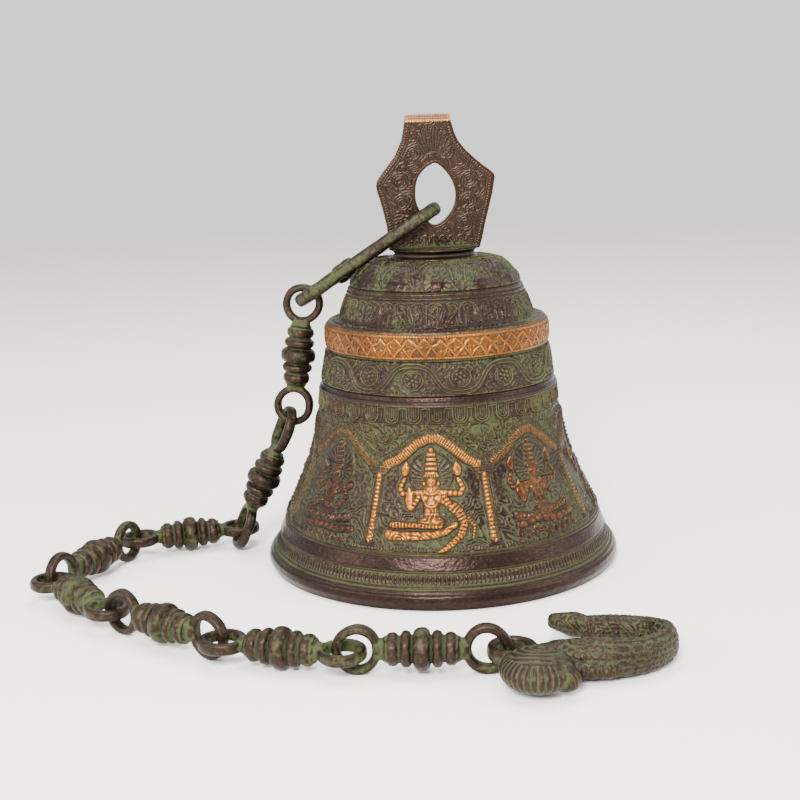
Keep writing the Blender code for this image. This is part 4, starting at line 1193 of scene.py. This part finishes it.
# ---------------------------------------------------------------- materials
class Nodes:
    """Short names for the shader nodes that the aged metals use."""

    def __init__(self, name):
        self.material = bpy.data.materials.new(name)
        self.material.use_nodes = True
        self.tree = self.material.node_tree
        self.shader = self.tree.nodes["Principled BSDF"]
        self.place = self.tree.nodes.new("ShaderNodeTexCoord").outputs["Object"]

    def node(self, kind, inputs=(), **settings):
        node = self.tree.nodes.new("ShaderNode" + kind)
        for key, value in settings.items():
            setattr(node, key, value)
        for socket, value in dict(inputs).items():
            if isinstance(value, bpy.types.NodeSocket):
                self.tree.links.new(value, node.inputs[socket])
            else:
                node.inputs[socket].default_value = value
        return node

    def noise(self, scale, detail=3.0, roughness=0.55, distortion=0.0):
        node = self.node("TexNoise", {"Vector": self.place, "Scale": scale, "Detail": detail,
                "Roughness": roughness, "Distortion": distortion})
        return node.outputs["Fac"]

    def attribute(self, name):
        return self.node("Attribute", attribute_name=name).outputs["Fac"]

    def math(self, operation, a, b=0.0, clamp=False):
        return self.node("Math", {0: a, 1: b}, operation=operation, use_clamp=clamp).outputs[0]

    def plus(self, value, other, share):
        return self.math("ADD", value, self.math("MULTIPLY", other, share))

    def ramp(self, value, low, high):
        node = self.node("MapRange", {"Value": value, "From Min": low, "From Max": high},
            interpolation_type="SMOOTHSTEP")
        return node.outputs["Result"]

    def scaled(self, value, to_min, to_max):
        node = self.node("MapRange", {"Value": value, "To Min": to_min, "To Max": to_max})
        return node.outputs["Result"]

    def mix(self, factor, a, b):
        node = self.node("Mix", data_type="RGBA")
        for socket, value in ((0, factor), (6, a), (7, b)):
            if isinstance(value, bpy.types.NodeSocket):
                self.tree.links.new(value, node.inputs[socket])
            else:
                node.inputs[socket].default_value = (*value, 1.0) if socket else value
        return node.outputs[2]

    def put(self, socket, value):
        self.tree.links.new(value, self.shader.inputs[socket])

    def bump(self, height, strength, distance):
        node = self.node("Bump", {"Height": height, "Strength": strength, "Distance": distance})
        self.put("Normal", node.outputs["Normal"])


def aged_metal(name, dark, rust, patina, bright, green=0.5, shine=0.34, worn=0.35, gilt=1.0,
    patina_on_lines_shaded_ground=0.0, grain=(900.0, 0.25)):
    """Dark bronze, patina in what lies low, reddish and bright metal on what stands out, and painted
    shade darkening the tightest hollows.

    green is how far up the patina climbs, patina_on_lines_shaded_ground moves it from the ground to the
    raised lines and leaves the ground dark metal as painted shade between them, worn is how much bright metal
    shows on edges, and gilt how strongly the gilded places show.
    """
    n = Nodes(name)
    wear, gild, bare = n.attribute("wear"), n.attribute("gild"), n.attribute("bare")
    cloud = n.noise(26.0, 4.0)
    speck = n.noise(420.0, 4.0, 0.65)
    fleck = n.noise(1500.0, 2.0, 0.6)
    uneven = n.math("ADD", n.math("MULTIPLY", n.math("SUBTRACT", cloud, 0.5), 1.3),
        n.math("MULTIPLY", n.math("SUBTRACT", speck, 0.5), 1.1))
    # Patina follows low relief; patina_on_lines_shaded_ground moves it up onto the raised lines, leaving the
    # ground between dark as painted shade.
    low = n.math("ADD", n.math("MULTIPLY", wear, -1.15 + 1.6 * patina_on_lines_shaded_ground), uneven)
    low = n.plus(low, bare, -0.95)
    green_share = n.ramp(n.math("ADD", low, green - 0.5), -0.16, 0.34)
    base = n.mix(n.ramp(speck, 0.42, 0.72), dark, rust)
    base = n.mix(n.math("MULTIPLY", n.ramp(cloud, 0.5, 0.75), 0.5), base, tuple(0.5 * c for c in dark))
    moss = n.mix(n.ramp(fleck, 0.35, 0.7), patina, tuple(0.5 * p + 0.3 * d for p, d in zip(patina, dark)))
    colour = n.mix(n.math("MULTIPLY", green_share, 0.94), base, moss)
    edge = n.math("MULTIPLY", n.ramp(n.plus(wear, uneven, 0.35), 0.25, 0.9), worn)
    golden = n.math("MULTIPLY", n.ramp(n.plus(gild, uneven, 0.30), 0.12, 0.85), gilt)
    golden = n.math("MULTIPLY", golden, n.ramp(n.plus(wear, uneven, 0.35), -0.45, 0.10))
    shown = n.math("MAXIMUM", edge, golden)
    rubbed = n.ramp(n.plus(n.plus(wear, gild, 0.45), uneven, 0.45), 0.35, 1.15)
    metal = n.mix(rubbed, (bright[0] * 0.42, bright[1] * 0.32, bright[2] * 0.28), bright)
    colour = n.mix(shown, colour, metal)
    # Painted shade: the tightest hollows of the relief are pulled towards a near-black colour and made dull.
    crevice_shade = n.math("MULTIPLY", n.ramp(n.plus(wear, uneven, 0.12), -0.12, -0.62), 0.80)
    colour = n.mix(crevice_shade, colour, PAINTED_CREVICE_SHADE)
    n.put("Base Color", colour)
    dull = n.math("MAXIMUM", n.math("MULTIPLY", green_share, n.math("SUBTRACT", 1.0, shown)), crevice_shade)
    n.put("Metallic", n.scaled(dull, 0.85, 0.08))
    n.shader.inputs["Specular IOR Level"].default_value = 0.35
    rough = n.plus(n.scaled(dull, shine, 0.72), n.math("SUBTRACT", fleck, 0.5), 0.25)
    n.put("Roughness", rough)
    height = n.plus(n.noise(grain[0], 5.0, 0.65), speck, 0.8)
    n.bump(height, grain[1], 0.0005)
    return n.material


DARK = (0.0185, 0.0110, 0.0095)
RUST = (0.036, 0.0185, 0.0130)
MOSS = (0.036, 0.052, 0.0075)
BRASS = (0.38, 0.142, 0.020)
# Near-black colour of the painted shade in the tightest hollows.
PAINTED_CREVICE_SHADE = (0.010, 0.008, 0.005)


# ---------------------------------------------------------------- studio
def studio():
    floor = bpy.data.meshes.new("floor")
    half = 3.0
    floor.from_pydata([(-half, -half, 0), (half, -half, 0), (half, half, 0), (-half, half, 0)], [],
        [(0, 1, 2, 3)])
    stage = bpy.data.objects.new("studio_floor", floor)
    stage.location.z = -0.0004
    bpy.context.scene.collection.objects.link(stage)
    n = Nodes("floor_paper")
    n.put("Base Color", n.mix(n.noise(3.0), (0.93, 0.89, 0.875), (0.96, 0.925, 0.91)))
    n.shader.inputs["Roughness"].default_value = 0.75
    floor.materials.append(n.material)
    world = bpy.data.worlds.new("studio_world")
    world.use_nodes = True
    world.node_tree.nodes["Background"].inputs["Color"].default_value = (1.0, 0.985, 0.975, 1.0)
    world.node_tree.nodes["Background"].inputs["Strength"].default_value = 1.25
    bpy.context.scene.world = world
    target = Vector((AXIS_X - 0.02, AXIS_Y, 0.12))
    for name, place, size, watts, tint in (
        ("key", (AXIS_X - 0.25, AXIS_Y - 1.25, 0.85), 0.40, 52.0, (1.0, 0.97, 0.93)),
        ("left_fill", (AXIS_X - 1.3, AXIS_Y - 0.5, 0.7), 0.9, 16.0, (1.0, 0.98, 0.97)),
        ("right_fill", (AXIS_X + 1.3, AXIS_Y - 0.3, 0.8), 0.9, 18.0, (1.0, 0.95, 0.92)),
        ("top", (AXIS_X, AXIS_Y + 0.3, 1.5), 1.2, 32.0, (1.0, 1.0, 1.0))):
        lamp = bpy.data.lights.new(name, "AREA")
        lamp.energy = watts
        lamp.size = size
        lamp.color = tint
        light = bpy.data.objects.new(name, lamp)
        light.location = place
        light.rotation_euler = (target - Vector(place)).to_track_quat("-Z", "Y").to_euler()
        bpy.context.scene.collection.objects.link(light)


CAMERA_FROM_AXIS = (-0.0263, -0.8994, 0.2951)
CAMERA_DOWN = math.radians(11.69)
CAMERA_ROLL = math.radians(-1.98)
CAMERA_LENS = 60.14


def camera():
    data = bpy.data.cameras.new("camera")
    data.lens = CAMERA_LENS
    data.sensor_width = 36.0
    obj = bpy.data.objects.new("camera", data)
    bpy.context.scene.collection.objects.link(obj)
    x, y, z = CAMERA_FROM_AXIS
    place = Matrix.Translation((AXIS_X + x, AXIS_Y + y, z))
    tilt = Matrix.Rotation(math.pi / 2 - CAMERA_DOWN, 4, "X")
    obj.matrix_world = place @ tilt @ Matrix.Rotation(CAMERA_ROLL, 4, "Z")
    bpy.context.scene.camera = obj


BRONZE = aged_metal("aged_bronze", DARK, RUST, MOSS, BRASS, green=0.56, worn=0.10)
CHASED = aged_metal("chased_bronze", DARK, RUST, MOSS, BRASS, green=0.44, worn=0.06, patina_on_lines_shaded_ground=0.85)
GILT = aged_metal("gilt_bronze", DARK, RUST, MOSS, BRASS, green=0.40, worn=0.35, gilt=1.0, shine=0.36)
INNER = aged_metal("inner_bronze", DARK, RUST, MOSS, BRASS, green=0.30, worn=0.05)
LUG = aged_metal("lug_bronze", (0.0200, 0.0120, 0.0082), (0.038, 0.0185, 0.0105), MOSS, BRASS, green=0.56,
    worn=0.03)
CHAIN = aged_metal("chain_bronze", (0.0200, 0.0140, 0.0100), (0.036, 0.0235, 0.0140), MOSS, BRASS, green=0.68,
    shine=0.42, worn=0.02, patina_on_lines_shaded_ground=0.30, grain=(700.0, 0.5))
IRON = aged_metal("forged_iron", (0.022, 0.019, 0.017), (0.060, 0.024, 0.012), (0.075, 0.030, 0.012),
    (0.18, 0.165, 0.15), green=0.42, worn=0.3)
build_bell(BRONZE, CHASED, GILT, INNER)
lug(LUG)
stirrup(CHAIN)
FOLLOWING = ["link_2_swing", "link_3_yaw", "link_4_yaw", "link_5_yaw", "link_6_yaw", "link_7_yaw",
    "link_8_yaw", "hook_yaw"]
for number, following in enumerate(FOLLOWING, 1):
    chain_link(number, CHAIN, following)
hook(CHAIN)
clapper(IRON, BRONZE)
studio()
camera()
